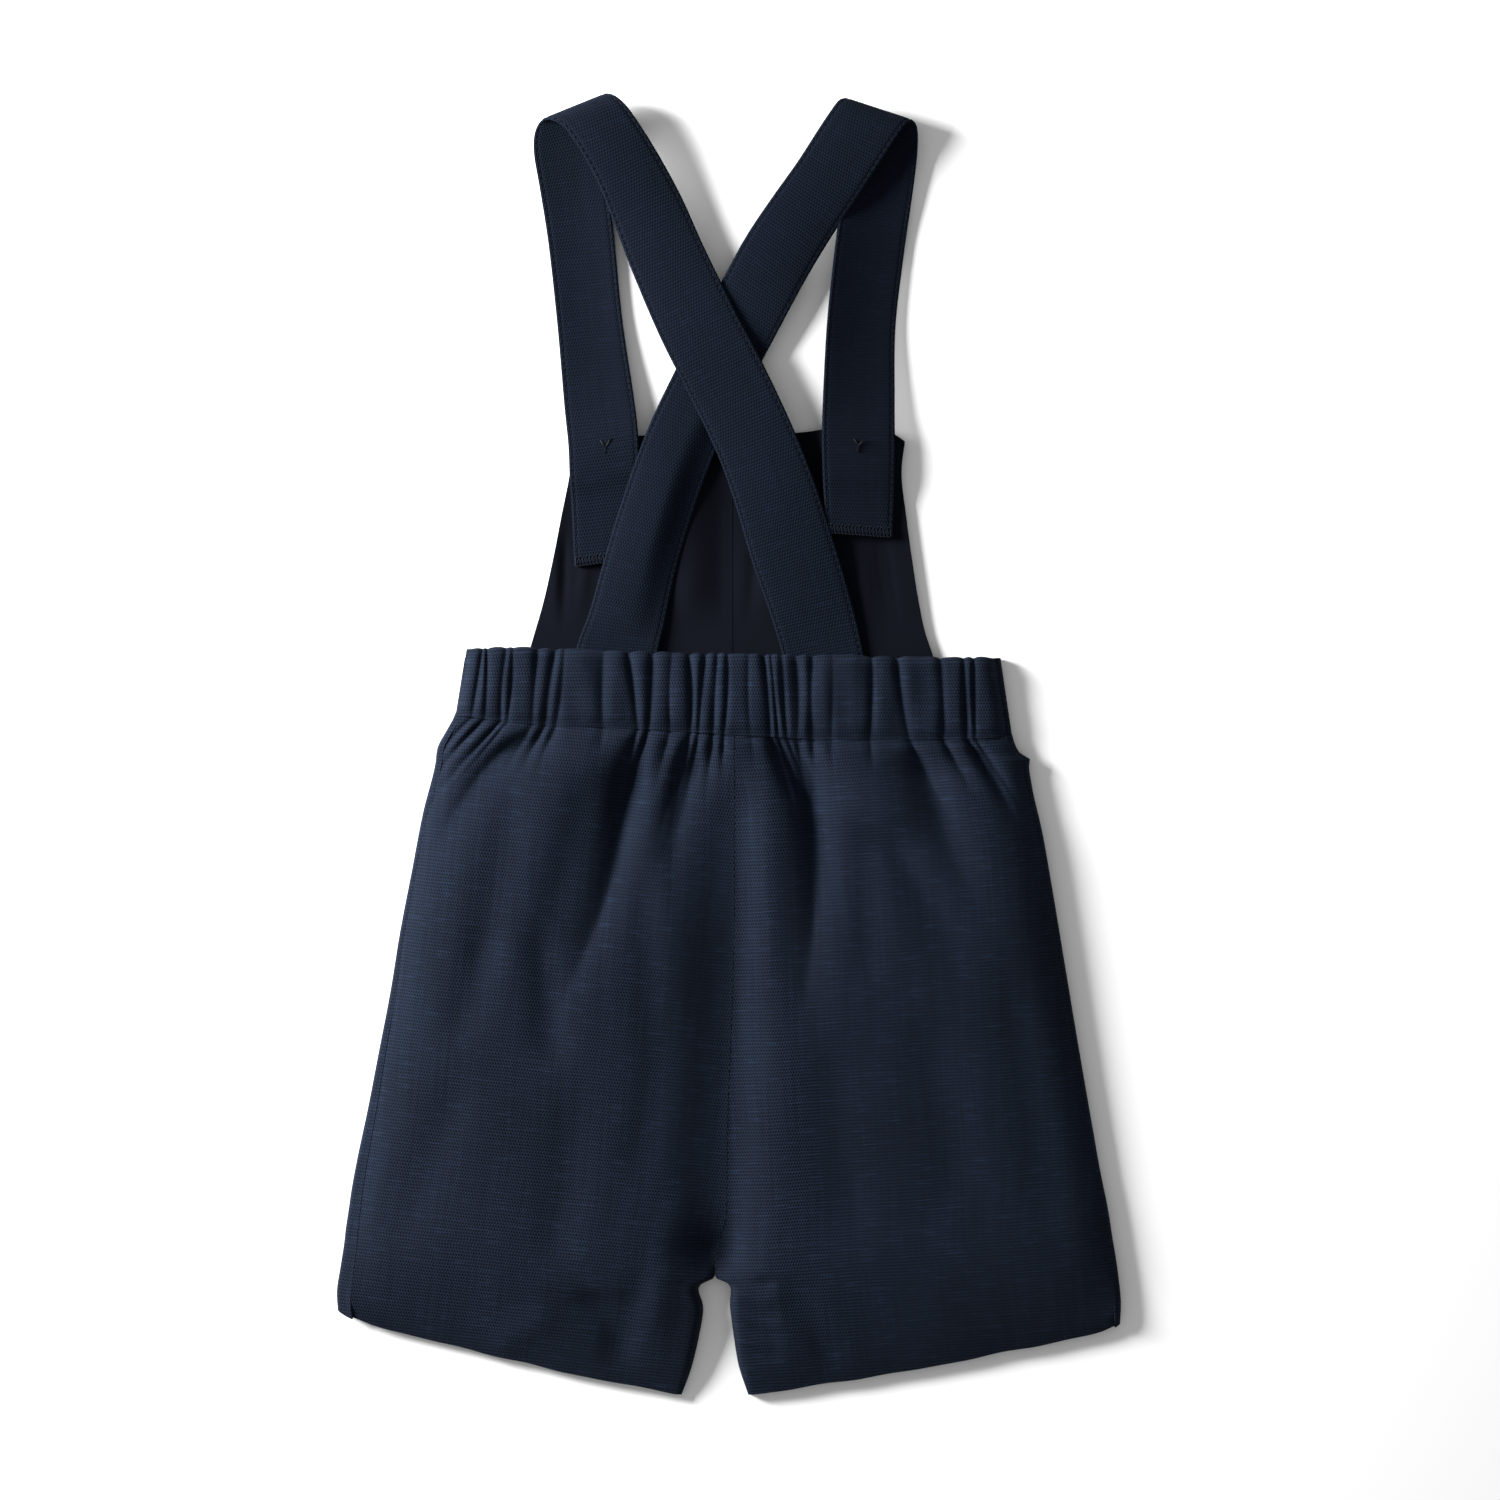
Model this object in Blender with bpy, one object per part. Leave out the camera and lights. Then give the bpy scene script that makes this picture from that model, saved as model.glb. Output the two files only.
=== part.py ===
"""Child's linen shortalls laid out face down: bib shorts with two crossed shoulder straps.

World frame: +Z up from the surface the garment rests on, +Y from the hems to the shoulders,
+X to the right of someone who looks down on the back. Left and right are theirs too.
The tables are in millimetres, and the solids are made in metres.
"""

import math
from collections import namedtuple

import bmesh
import bpy
import numpy as np

MM = 0.001
SEAM_GAP = 0.3

LINEN_NAVY = "1F2633"
COTTON_NAVY = "1D212D"
RESIN_NAVY = "1A1E29"

# Cloth sizes. A back panel's wall and its lift over the front at the side seam.
PANEL_WALL = 1.2
FRONT_WALL = 1.0
BIB_WALL = 1.0
LINING_WALL = 0.8
STRAP_WALL = 1.4
WAISTBAND_WALL = 1.5
FRONT_WAISTBAND_WALL = 1.4
SIDE_FOLD_RADIUS = 1.0
SIDE_SEAM_LIFT = 2.0
INSEAM_LIFT = 1.35
WAISTBAND_LIFT = 4.3
BAND_END_LIFT = 2.3

# The legs, a row per section from the waist seam (down 0) to the hem (down 1).
# side: the outline. inner: the centre-back seam, then the inseam. wrap: how far the front
# panel turns over the side onto the back before the side seam.
LegRow = namedtuple("LegRow", "down side_x side_y inner_x inner_y wrap")
LEFT_LEG = [
    LegRow(0.000, -117.9, 12.7, 2.4, 4.1, 2.4),
    LegRow(0.027, -121.9, 5.7, 2.4, -3.6, 2.4),
    LegRow(0.053, -125.6, -1.1, 2.4, -10.9, 2.5),
    LegRow(0.080, -126.6, -8.0, 2.4, -18.6, 2.4),
    LegRow(0.160, -131.8, -28.8, 2.2, -41.3, 2.2),
    LegRow(0.260, -136.8, -54.7, 2.4, -69.7, 2.2),
    LegRow(0.360, -141.8, -80.6, 1.8, -98.1, 2.4),
    LegRow(0.460, -146.0, -106.5, 0.9, -126.4, 2.8),
    LegRow(0.560, -151.0, -132.5, -0.3, -154.8, 3.4),
    LegRow(0.660, -156.0, -158.4, -0.8, -183.2, 4.2),
    LegRow(0.740, -160.4, -179.1, -1.8, -205.9, 4.9),
    LegRow(0.790, -162.8, -192.1, -5.4, -219.0, 5.3),
    LegRow(0.828, -164.2, -201.9, -6.1, -229.8, 5.6),
    LegRow(0.845, -164.9, -206.3, -12.2, -232.9, 5.8),
    LegRow(0.880, -166.0, -215.4, -11.0, -243.0, 6.1),
    LegRow(0.920, -167.6, -225.8, -12.9, -255.5, 6.4),
    LegRow(0.960, -169.0, -236.1, -16.2, -269.0, 6.6),
    LegRow(1.000, -168.7, -245.5, -20.3, -280.0, 6.8),
]
RIGHT_LEG = [
    LegRow(0.000, 122.0, 3.2, 2.4, 4.1, 2.2),
    LegRow(0.027, 125.9, -3.7, 2.4, -3.6, 2.2),
    LegRow(0.037, 129.4, -6.2, 2.4, -6.4, 4.2),
    LegRow(0.080, 130.4, -17.1, 2.4, -18.6, 2.4),
    LegRow(0.160, 134.9, -37.4, 2.2, -41.3, 2.0),
    LegRow(0.260, 139.4, -62.8, 2.4, -69.7, 2.0),
    LegRow(0.360, 143.6, -88.1, 1.8, -98.1, 2.0),
    LegRow(0.460, 147.8, -113.5, 0.9, -126.4, 2.0),
    LegRow(0.560, 152.1, -138.9, -0.3, -154.8, 2.0),
    LegRow(0.660, 156.5, -164.2, -0.8, -183.2, 2.1),
    LegRow(0.740, 160.1, -184.5, -1.8, -205.9, 2.2),
    LegRow(0.790, 162.7, -197.2, -5.4, -219.0, 2.3),
    LegRow(0.828, 164.4, -206.9, -6.1, -229.8, 2.4),
    LegRow(0.845, 165.0, -211.2, -0.6, -232.4, 2.4),
    LegRow(0.880, 166.5, -220.0, 0.2, -242.0, 2.5),
    LegRow(0.920, 167.9, -230.2, 1.9, -255.3, 2.5),
    LegRow(0.960, 168.8, -240.4, 4.0, -267.6, 2.5),
    LegRow(1.000, 168.6, -251.0, 8.1, -280.0, 2.5),
]
HEM_BOW = 2.2

# The body of the shorts: how high the back panels' inner face lies over the surface.
Loft = namedtuple("Loft", "down height")
LOFTS = [
    Loft(0.00, 4.3),
    Loft(0.03, 5.6),
    Loft(0.08, 7.4),
    Loft(0.16, 8.0),
    Loft(0.30, 7.4),
    Loft(0.45, 6.2),
    Loft(0.60, 5.2),
    Loft(0.75, 4.4),
    Loft(0.88, 3.4),
    Loft(1.00, 1.8),
]

# The waistband's gathers, a row per valley: where it meets the band's top edge and the waist
# seam, its depth and half width, and how it leans and how far it reaches down the panel.
Gather = namedtuple("Gather", "top foot depth half lean reach")
GATHERS = [
    Gather(-105.9, -110.4, 1.6, 1.5, -0.90, 20),
    Gather(-104.0, -105.0, 1.5, 1.3, -0.85, 24),
    Gather(-95.6, -98.2, 1.6, 1.5, -0.80, 26),
    Gather(-92.8, -95.2, 1.2, 1.4, -0.75, 22),
    Gather(-82.2, -84.6, 1.6, 2.0, -0.55, 16),
    Gather(-74.6, -79.2, 2.2, 2.0, -0.50, 14),
    Gather(-70.8, -74.4, 1.4, 2.2, -0.40, 12),
    Gather(-53.8, -54.2, 1.2, 2.4, -0.10, 8),
    Gather(-43.4, -39.2, 2.2, 1.8, -0.30, 34),
    Gather(-33.0, -34.6, 2.2, 1.7, -0.30, 36),
    Gather(-24.6, -25.4, 1.2, 1.8, -0.25, 18),
    Gather(-17.3, -16.6, 2.5, 1.7, -0.25, 42),
    Gather(-10.2, -13.0, 1.9, 1.5, -0.20, 28),
    Gather(-5.0, -7.0, 1.6, 1.4, -0.10, 18),
    Gather(-0.6, -2.2, 1.4, 1.2, -0.05, 12),
    Gather(8.4, 9.4, 0.9, 2.0, 0.15, 10),
    Gather(14.8, 17.6, 2.4, 1.5, 0.35, 24),
    Gather(18.0, 21.2, 1.6, 1.4, 0.40, 20),
    Gather(22.6, 25.0, 1.6, 1.6, 0.40, 18),
    Gather(28.6, 29.4, 2.2, 2.6, 0.15, 40),
    Gather(35.8, 35.8, 1.8, 2.2, 0.10, 12),
    Gather(44.6, 44.0, 0.8, 2.0, 0.05, 8),
    Gather(61.4, 60.6, 1.5, 1.8, 0.10, 8),
    Gather(72.2, 77.6, 2.2, 2.1, 0.50, 34),
    Gather(90.6, 91.9, 1.9, 1.9, 0.55, 16),
    Gather(100.8, 102.2, 2.1, 1.5, 0.60, 24),
    Gather(105.2, 105.9, 1.6, 1.3, 0.65, 24),
]
GATHER_CREST = 2.6

# The panels' largest folds, a row per valley line with four points from the waist down.
# dark, light: how far the cloth rises away to the left and to the right of the line.
Fold = namedtuple("Fold", "x0 y0 x1 y1 x2 y2 x3 y3 depth dark light")
FOLDS = [
    Fold(-84.4, 8.0, -98.6, -4.0, -114.0, -23.9, -130.8, -54.0, 3.6, 8.0, 14.0),
    Fold(-105.0, 12.0, -112.0, 4.0, -119.0, -5.0, -125.0, -17.0, 1.6, 3.0, 4.0),
    Fold(-38.8, 4.1, -46.5, -36.0, -59.4, -90.5, -82.6, -123.6, 5.2, 11.0, 7.0),
    Fold(-12.6, 2.8, -19.0, -20.0, -24.6, -49.7, -21.2, -76.0, 2.6, 6.0, 8.0),
    Fold(17.1, 4.1, 24.5, -6.0, 30.0, -17.4, 37.0, -30.0, 2.2, 4.0, 5.0),
    Fold(29.2, 4.1, 36.4, -31.0, 39.0, -66.0, 30.0, -116.0, 5.4, 12.0, 9.0),
    Fold(77.7, 1.5, 86.3, -20.9, 97.1, -49.7, 112.0, -92.0, 3.8, 9.0, 7.0),
    Fold(103.5, 2.4, 110.9, -7.1, 116.0, -17.0, 122.0, -34.0, 2.2, 4.0, 4.5),
    Fold(-62.0, -232.0, -52.0, -248.0, -46.0, -262.0, -44.0, -276.0, 1.6, 9.0, 9.0),
]
SEAM_VALLEY_DEPTH = 2.6
SEAM_VALLEY_LEFT = 22.0
SEAM_VALLEY_RIGHT = 13.0

# The bib inside the straps, a row per section from its top edge to the front waistband.
BibRow = namedtuple("BibRow", "down left_x left_y right_x right_y")
BIB = [
    BibRow(0.00, -66.5, 130.4, 75.8, 130.6),
    BibRow(0.15, -68.6, 117.4, 74.4, 117.8),
    BibRow(0.35, -72.4, 98.5, 76.4, 98.5),
    BibRow(0.55, -76.1, 79.5, 79.0, 79.3),
    BibRow(0.75, -80.4, 60.5, 82.0, 60.5),
    BibRow(0.90, -84.0, 48.0, 84.8, 47.6),
    BibRow(1.00, -86.8, 38.4, 88.2, 37.6),
]
# The bib's top edge rises over the line between its corners.
BibTop = namedtuple("BibTop", "across rise")
BIB_TOP = [
    BibTop(0.00, 0.0),
    BibTop(0.06, 1.9),
    BibTop(0.20, 2.6),
    BibTop(0.50, 3.0),
    BibTop(0.70, 4.2),
    BibTop(0.80, 6.0),
    BibTop(0.90, 5.4),
    BibTop(0.97, 2.8),
    BibTop(1.00, 0.0),
]
BIB_SEAM_X = 1.6
LINING_LIFT = 1.3
LINING_RIDGE = 2.0

# Straps, a row per section along the strap: first the end inside the bib, then up to the
# shoulder, over the loop, and down across the back to the end under the waistband.
# turn: the section's angle in plan. arch: its rise in the middle.
StrapRow = namedtuple("StrapRow", "x y z turn width arch")
LEFT_STRAP = [
    StrapRow(-52.5, 78.7, 3.7, 7.8, 28.6, 0.0),
    StrapRow(-53.1, 104.7, 4.2, 6.7, 29.7, 0.0),
    StrapRow(-53.6, 117.0, 6.2, 7.2, 30.2, 0.0),
    StrapRow(-54.1, 131.0, 6.2, 8.0, 30.4, 0.0),
    StrapRow(-56.0, 148.1, 4.4, 5.0, 30.2, -0.4),
    StrapRow(-60.1, 182.5, 2.4, 5.3, 28.1, -0.8),
    StrapRow(-63.7, 216.9, 2.4, 5.2, 28.5, -0.8),
    StrapRow(-67.0, 240.4, 2.7, 7.7, 29.1, -0.8),
    StrapRow(-69.8, 257.5, 3.9, 13.0, 29.2, -0.6),
    StrapRow(-69.8, 267.6, 5.9, 18.6, 29.2, -0.3),
    StrapRow(-67.4, 273.1, 8.8, 21.8, 29.3, 0.0),
    StrapRow(-63.4, 273.4, 11.8, 21.5, 29.0, 0.3),
    StrapRow(-57.3, 269.1, 13.3, 20.5, 28.0, 0.6),
    StrapRow(-49.5, 257.8, 12.8, 23.0, 28.0, 0.8),
    StrapRow(-42.1, 244.8, 11.4, 23.2, 29.0, 0.8),
    StrapRow(-34.5, 228.5, 9.8, 22.0, 31.2, 0.8),
    StrapRow(-25.5, 206.8, 8.6, 22.6, 32.6, 0.7),
    StrapRow(-13.8, 181.2, 8.2, 24.6, 34.0, 0.6),
    StrapRow(-1.2, 156.6, 8.2, 24.4, 34.4, 0.4),
    StrapRow(11.2, 130.3, 8.4, 21.5, 34.4, 0.6),
    StrapRow(19.7, 107.9, 8.0, 19.6, 35.4, 0.8),
    StrapRow(26.6, 85.6, 6.8, 19.2, 36.2, 0.9),
    StrapRow(33.2, 65.4, 5.2, 17.0, 35.4, 0.8),
    StrapRow(38.8, 46.2, 3.8, 12.5, 34.6, 0.2),
    StrapRow(41.4, 33.4, 3.3, 11.5, 34.8, 0.0),
]
RIGHT_STRAP = [
    StrapRow(56.0, 90.3, 3.7, -4.0, 28.9, 0.0),
    StrapRow(55.9, 105.5, 4.2, -1.0, 30.2, 0.0),
    StrapRow(55.7, 117.5, 6.2, 0.0, 31.0, 0.0),
    StrapRow(55.6, 131.5, 6.2, 0.0, 31.4, 0.0),
    StrapRow(55.8, 148.1, 4.4, 0.0, 31.0, -0.4),
    StrapRow(56.9, 180.3, 2.3, -1.0, 29.7, -0.8),
    StrapRow(60.6, 213.9, 2.3, -6.0, 29.9, -0.8),
    StrapRow(63.6, 233.7, 2.7, -8.4, 29.6, -0.8),
    StrapRow(66.2, 251.4, 3.9, -11.8, 29.2, -0.6),
    StrapRow(67.0, 263.4, 5.9, -15.5, 29.6, -0.3),
    StrapRow(66.2, 270.8, 8.8, -18.2, 30.2, 0.0),
    StrapRow(62.6, 271.9, 11.8, -18.4, 31.0, 0.3),
    StrapRow(57.0, 264.9, 13.3, -20.5, 30.6, 0.6),
    StrapRow(42.7, 243.0, 12.2, -30.0, 29.8, 0.9),
    StrapRow(31.1, 226.2, 10.6, -33.2, 30.4, 0.9),
    StrapRow(21.0, 210.5, 8.6, -34.0, 31.3, 0.8),
    StrapRow(11.1, 192.6, 6.4, -32.2, 31.5, 0.6),
    StrapRow(1.0, 173.7, 5.4, -30.2, 31.5, 0.4),
    StrapRow(-9.1, 154.2, 5.4, -27.6, 31.2, 0.4),
    StrapRow(-19.4, 132.9, 6.8, -22.6, 30.7, 0.8),
    StrapRow(-27.0, 113.2, 8.2, -19.2, 30.4, 1.2),
    StrapRow(-34.1, 91.6, 7.3, -17.2, 30.6, 1.6),
    StrapRow(-39.2, 73.6, 5.8, -15.6, 31.2, 1.6),
    StrapRow(-44.0, 54.3, 4.5, -11.0, 32.6, 1.0),
    StrapRow(-47.4, 43.6, 3.8, -5.0, 34.6, 0.3),
    StrapRow(-49.6, 33.0, 3.3, -2.7, 36.4, 0.0),
]

BUTTON_RADIUS = 5.75
BUTTON_THICKNESS = 2.5
BUTTON_RIM = 0.5
BUTTONS = {"button_left": (-53.4, 126.6), "button_right": (55.8, 126.6)}

# The waistband's edges: the back casing between its side seams, and the whole front band.
BandEnd = namedtuple("BandEnd", "across top_x top_y foot_x foot_y")
BACK_BAND = [
    BandEnd(0.00, -110.9, 41.2, -115.3, 12.4),
    BandEnd(0.10, -88.0, 41.1, -91.6, 9.2),
    BandEnd(0.30, -42.6, 39.3, -44.6, 7.0),
    BandEnd(0.50, 2.2, 38.5, 2.4, 4.1),
    BandEnd(0.70, 47.0, 37.7, 49.2, 2.0),
    BandEnd(0.90, 92.0, 36.9, 95.8, 2.3),
    BandEnd(1.00, 114.6, 37.2, 119.6, 3.0),
]
FRONT_BAND_OUT = 2.0


def clear_scene():
    for item in list(bpy.data.objects):
        bpy.data.objects.remove(item, do_unlink=True)


def cloth_material(name, colour, roughness):
    channels = []
    for start in (0, 2, 4):
        value = int(colour[start:start + 2], 16) / 255
        channels.append(value / 12.92 if value <= 0.04045 else ((value + 0.055) / 1.055) ** 2.4)
    material = bpy.data.materials.new(name)
    material.use_nodes = True
    shader = material.node_tree.nodes["Principled BSDF"]
    shader.inputs["Base Color"].default_value = (*channels, 1.0)
    shader.inputs["Roughness"].default_value = roughness
    shader.inputs["Metallic"].default_value = 0.0
    return material


def follow(rows, column, at):
    """A column's value at each place, on the smooth line through the table's rows."""
    keys = np.array([row[0] for row in rows], dtype=float)
    values = np.array([getattr(row, column) for row in rows], dtype=float)
    return smooth_line(keys, values, at)


def smooth_line(keys, values, at):
    at = np.asarray(at, dtype=float)
    slopes = np.gradient(values, keys)
    first = np.clip(np.searchsorted(keys, at, side="right") - 1, 0, len(keys) - 2)
    span = keys[first + 1] - keys[first]
    t = (at - keys[first]) / span
    rise = (3 - 2 * t) * t * t
    return (values[first] * (1 - rise) + values[first + 1] * rise
            + span * t * (1 - t) ** 2 * slopes[first]
            - span * t * t * (1 - t) * slopes[first + 1])


def ease(value):
    """0 to 1 with soft ends."""
    value = np.clip(value, 0.0, 1.0)
    return value * value * (3 - 2 * value)


def add_wall(name, material, upper, lower):
    """One closed sheet between two grids of points, upper face and lower face."""
    rows, columns = upper.shape[:2]
    mesh = bmesh.new()
    bmesh.ops.create_grid(mesh, x_segments=columns - 1, y_segments=rows - 1, size=0.5)
    mesh.verts.ensure_lookup_table()
    places = {}
    for vert in mesh.verts:
        column = round((vert.co.x + 0.5) * (columns - 1))
        row = round((vert.co.y + 0.5) * (rows - 1))
        places[vert] = (row, column)
    made = bmesh.ops.extrude_face_region(mesh, geom=mesh.faces[:])
    for item in made["geom"]:
        if isinstance(item, bmesh.types.BMVert):
            column = round((item.co.x + 0.5) * (columns - 1))
            row = round((item.co.y + 0.5) * (rows - 1))
            item.co = [float(c) * MM for c in upper[row, column]]
    for vert, (row, column) in places.items():
        vert.co = [float(c) * MM for c in lower[row, column]]
    bmesh.ops.triangulate(mesh, faces=mesh.faces[:])
    bmesh.ops.recalc_face_normals(mesh, faces=mesh.faces[:])
    add_object(name, mesh, material)


def add_object(name, mesh, material):
    data = bpy.data.meshes.new(name)
    mesh.to_mesh(data)
    mesh.free()
    data.materials.append(material)
    bpy.context.scene.collection.objects.link(bpy.data.objects.new(name, data))


def surface_normals(points):
    """Unit normals of a grid of points, to the side where rows cross columns upward."""
    along_rows = np.gradient(points, axis=0)
    along_columns = np.gradient(points, axis=1)
    normal = np.cross(along_columns, along_rows)
    return normal / np.linalg.norm(normal, axis=2, keepdims=True)


def gather_groove(x, below, drop):
    """Depth of the waistband's gathers. below: 0 at the band's top edge, 1 at the waist seam
    and further down. drop: mm under the waist seam, where the gathers lean out and fade."""
    total = np.zeros_like(x)
    for gather in GATHERS:
        line = gather.top + (gather.foot - gather.top) * np.clip(below, 0, 1)
        line = line + gather.lean * drop
        half = gather.half * (1 + drop / 25)
        fade = np.exp(-(drop / gather.reach) ** 2)
        total += (gather.depth * fade * np.exp(-np.abs((x - line) / half) ** 1.5)) ** 3
    return np.minimum(total ** (1 / 3), GATHER_CREST)


def fold_groove(x, y):
    """Depth of the largest folds, each a soft trough along its own line."""
    total = np.zeros_like(x)
    for fold in FOLDS:
        keys = np.array([-fold.y0, -fold.y1, -fold.y2, -fold.y3])
        line = smooth_line(keys, np.array([fold.x0, fold.x1, fold.x2, fold.x3]),
                           np.clip(-y, keys[0], keys[-1]))
        reach = keys[-1] - keys[0]
        way = (-y - keys[0]) / reach
        fade = ease((way + 0.02) / 0.22) * ease((1.08 - way) / 0.5)
        off = x - line
        width = np.where(off < 0, fold.dark, fold.light)
        total += fold.depth * fade * np.exp(-np.sqrt((off / width) ** 2 + 0.03) + 0.17)
    return total


def leg_edges(leg, down):
    side = np.stack([follow(leg, "side_x", down), follow(leg, "side_y", down)], axis=-1)
    inner = np.stack([follow(leg, "inner_x", down), follow(leg, "inner_y", down)], axis=-1)
    return side, inner, follow(leg, "wrap", down)


def leg_point(outer, inner, across, down):
    """Between a row's ends. The hem bows out a little, and the waist seam dips."""
    place = outer + (inner - outer) * across[..., None]
    place[..., 1] -= HEM_BOW * np.sin(math.pi * across) ** 0.6 * ease((down - 0.9) / 0.1)
    return place


def back_height(x, y, down, from_side, from_inner):
    """The back panels' inner face over the surface, and its fine gathers."""
    loft = follow(LOFTS, "height", down)
    drop = np.clip(waist_seam_y(x) - y, 0, None)
    folds = fold_groove(x, y)
    seam = np.where(x < centre_seam_x(y), SEAM_VALLEY_LEFT, SEAM_VALLEY_RIGHT)
    valley = SEAM_VALLEY_DEPTH * ease(drop / 40) * np.exp(-((x - centre_seam_x(y)) / seam) ** 2)
    swell = 1.6 * ease(drop / 30) * np.exp(-(drop / 90) ** 2)
    height = loft + swell - folds - valley
    crotch = ((x + 6) / 15) ** 2 + ((y + 224) / 15) ** 2
    height = height - 1.8 * np.exp(-crotch)
    height = SIDE_SEAM_LIFT + (height - SIDE_SEAM_LIFT) * (1 - np.exp(-from_side / 7))
    legs_apart = ease((down - 0.80) / 0.035)
    height = height - legs_apart * (height - INSEAM_LIFT) * np.exp(-from_inner / 5)
    height = INSEAM_LIFT + np.log1p(np.exp((height - INSEAM_LIFT) * 4)) / 4 - math.log(2) / 4
    height = np.maximum(height, INSEAM_LIFT)
    groove = gather_groove(x, np.ones_like(x), drop)
    pinned = 0.55 + 0.45 * ease(drop / 5)
    crest = GATHER_CREST * np.exp(-(drop / 26) ** 2) * pinned * (1 - np.exp(-from_side / 6))
    fine = crest - np.minimum(groove * pinned, crest + 0.4)
    return height, fine


def waist_seam_y(x):
    feet = np.array([end.foot_x for end in BACK_BAND])
    return smooth_line(feet, np.array([end.foot_y for end in BACK_BAND]),
                       np.clip(x, feet[0], feet[-1]))


def centre_seam_x(y):
    keys = np.array([-row.inner_y for row in LEFT_LEG[:13]])
    return smooth_line(keys, np.array([row.inner_x for row in LEFT_LEG[:13]]),
                       np.clip(-y, keys[0], keys[-1]))


def gather_columns(low, high, widest):
    """Places across the waist seam, 0 to 1: each valley, each crest, and steps between."""
    valleys = [g.foot for g in GATHERS if low + 1 < g.foot < high - 1]
    stations = [low] + valleys + [high]
    crests = [(a + b) / 2 for a, b in zip(stations, stations[1:])]
    stations = sorted(stations + crests)
    places = []
    for a, b in zip(stations, stations[1:]):
        steps = max(1, math.ceil((b - a) / widest))
        places += [a + (b - a) * step / steps for step in range(steps)]
    return (np.array(places + [high]) - low) / (high - low)


def add_back_panel(name, material, leg):
    downs = np.array([0, 0.018, 0.04, 0.068, 0.10, 0.14, 0.19, 0.25, 0.32, 0.40,
                      0.49, 0.59, 0.69, 0.77, 0.828, 0.85, 0.90, 0.95, 1.0])
    side, inner, wrap = leg_edges(leg, downs)
    along = (inner - side) / np.linalg.norm(inner - side, axis=1, keepdims=True)
    outer = side + along * (wrap + SEAM_GAP)[:, None]
    inner = inner - along * SEAM_GAP / 2
    ends = sorted((outer[0, 0], inner[0, 0]))
    across = gather_columns(ends[0], ends[1], 3.4)
    if outer[0, 0] > inner[0, 0]:
        across = 1 - across[::-1]
    across, down = np.meshgrid(across, downs)
    place = leg_point(outer[:, None, :], inner[:, None, :], across, down)
    place[..., 1] = np.where(down == 0, waist_seam_y(place[..., 0]) - SEAM_GAP, place[..., 1])
    width = np.linalg.norm(inner - outer, axis=1)[:, None]
    low, fine = back_height(place[..., 0], place[..., 1], down,
                            across * width, (1 - across) * width)
    upper = np.dstack([place, low + fine + PANEL_WALL])
    lower = np.dstack([place, low + fine * 0.5])
    add_wall(name, material, upper, lower)


def turned_sheet(edge, toward, wrap, wall, radius, columns):
    """Sections of a sheet that lies flat on the surface and turns over at its outer edge.
    edge: the outline. toward: the sheet's inner end. Returns the middle of the wall."""
    span = toward - edge
    length = np.linalg.norm(span, axis=1, keepdims=True)
    way = span / length
    points = []
    for share in np.linspace(1, 0, columns):
        reach = wall / 2 + radius + (length - wall / 2 - radius) * share
        points.append(np.hstack([edge + way * reach, np.full((len(edge), 1), wall / 2)]))
    for angle in (45, 90, 135, 180):
        turn = math.radians(angle)
        reach = wall / 2 + radius * (1 - math.sin(turn))
        height = wall / 2 + radius * (1 - math.cos(turn))
        points.append(np.hstack([edge + way * reach, np.full((len(edge), 1), height)]))
    last = np.maximum(wrap, wall / 2 + radius + 0.4)[:, None]
    points.append(np.hstack([edge + way * last,
                             np.full((len(edge), 1), wall / 2 + 2 * radius)]))
    return np.stack(points, axis=1)


def add_turned_sheet(name, material, middle, wall):
    normal = surface_normals(middle)
    flat = np.isclose(middle[..., 2], wall / 2)
    if np.sum(normal[flat][:, 2]) < 0:
        normal = -normal
    normal[flat & (normal[..., 2] > 0.7)] = (0, 0, 1)
    upper = middle + normal * wall / 2
    lower = middle - normal * wall / 2
    lower[..., 2] = np.maximum(lower[..., 2], 0)
    add_wall(name, material, upper, lower)


def add_front_panel(name, material, leg):
    downs = np.array([0.0, 0.027, 0.037, 0.053, 0.10, 0.18, 0.28, 0.40, 0.54, 0.68,
                      0.77, 0.828, 0.845, 0.90, 0.95, 1.0])
    side, inner, wrap = leg_edges(leg, downs)
    along = (inner - side) / np.linalg.norm(inner - side, axis=1, keepdims=True)
    inner = inner - along * SEAM_GAP / 2
    middle = turned_sheet(side, inner, wrap, FRONT_WALL, SIDE_FOLD_RADIUS, 7)
    flat_width = np.linalg.norm(inner - side, axis=1)[:, None]
    share = np.linalg.norm(middle[..., :2] - side[:, None, :], axis=2) / flat_width
    down = np.broadcast_to(downs[:, None], share.shape)
    middle[..., 1] -= HEM_BOW * np.sin(math.pi * share) ** 0.6 * ease((down - 0.9) / 0.1)
    middle[0, :, 1] -= SEAM_GAP
    add_turned_sheet(name, material, middle, FRONT_WALL)


def band_top_y(x):
    tops = np.array([end.top_x for end in BACK_BAND])
    return smooth_line(tops, np.array([end.top_y for end in BACK_BAND]),
                       np.clip(x, tops[0], tops[-1]))


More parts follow.
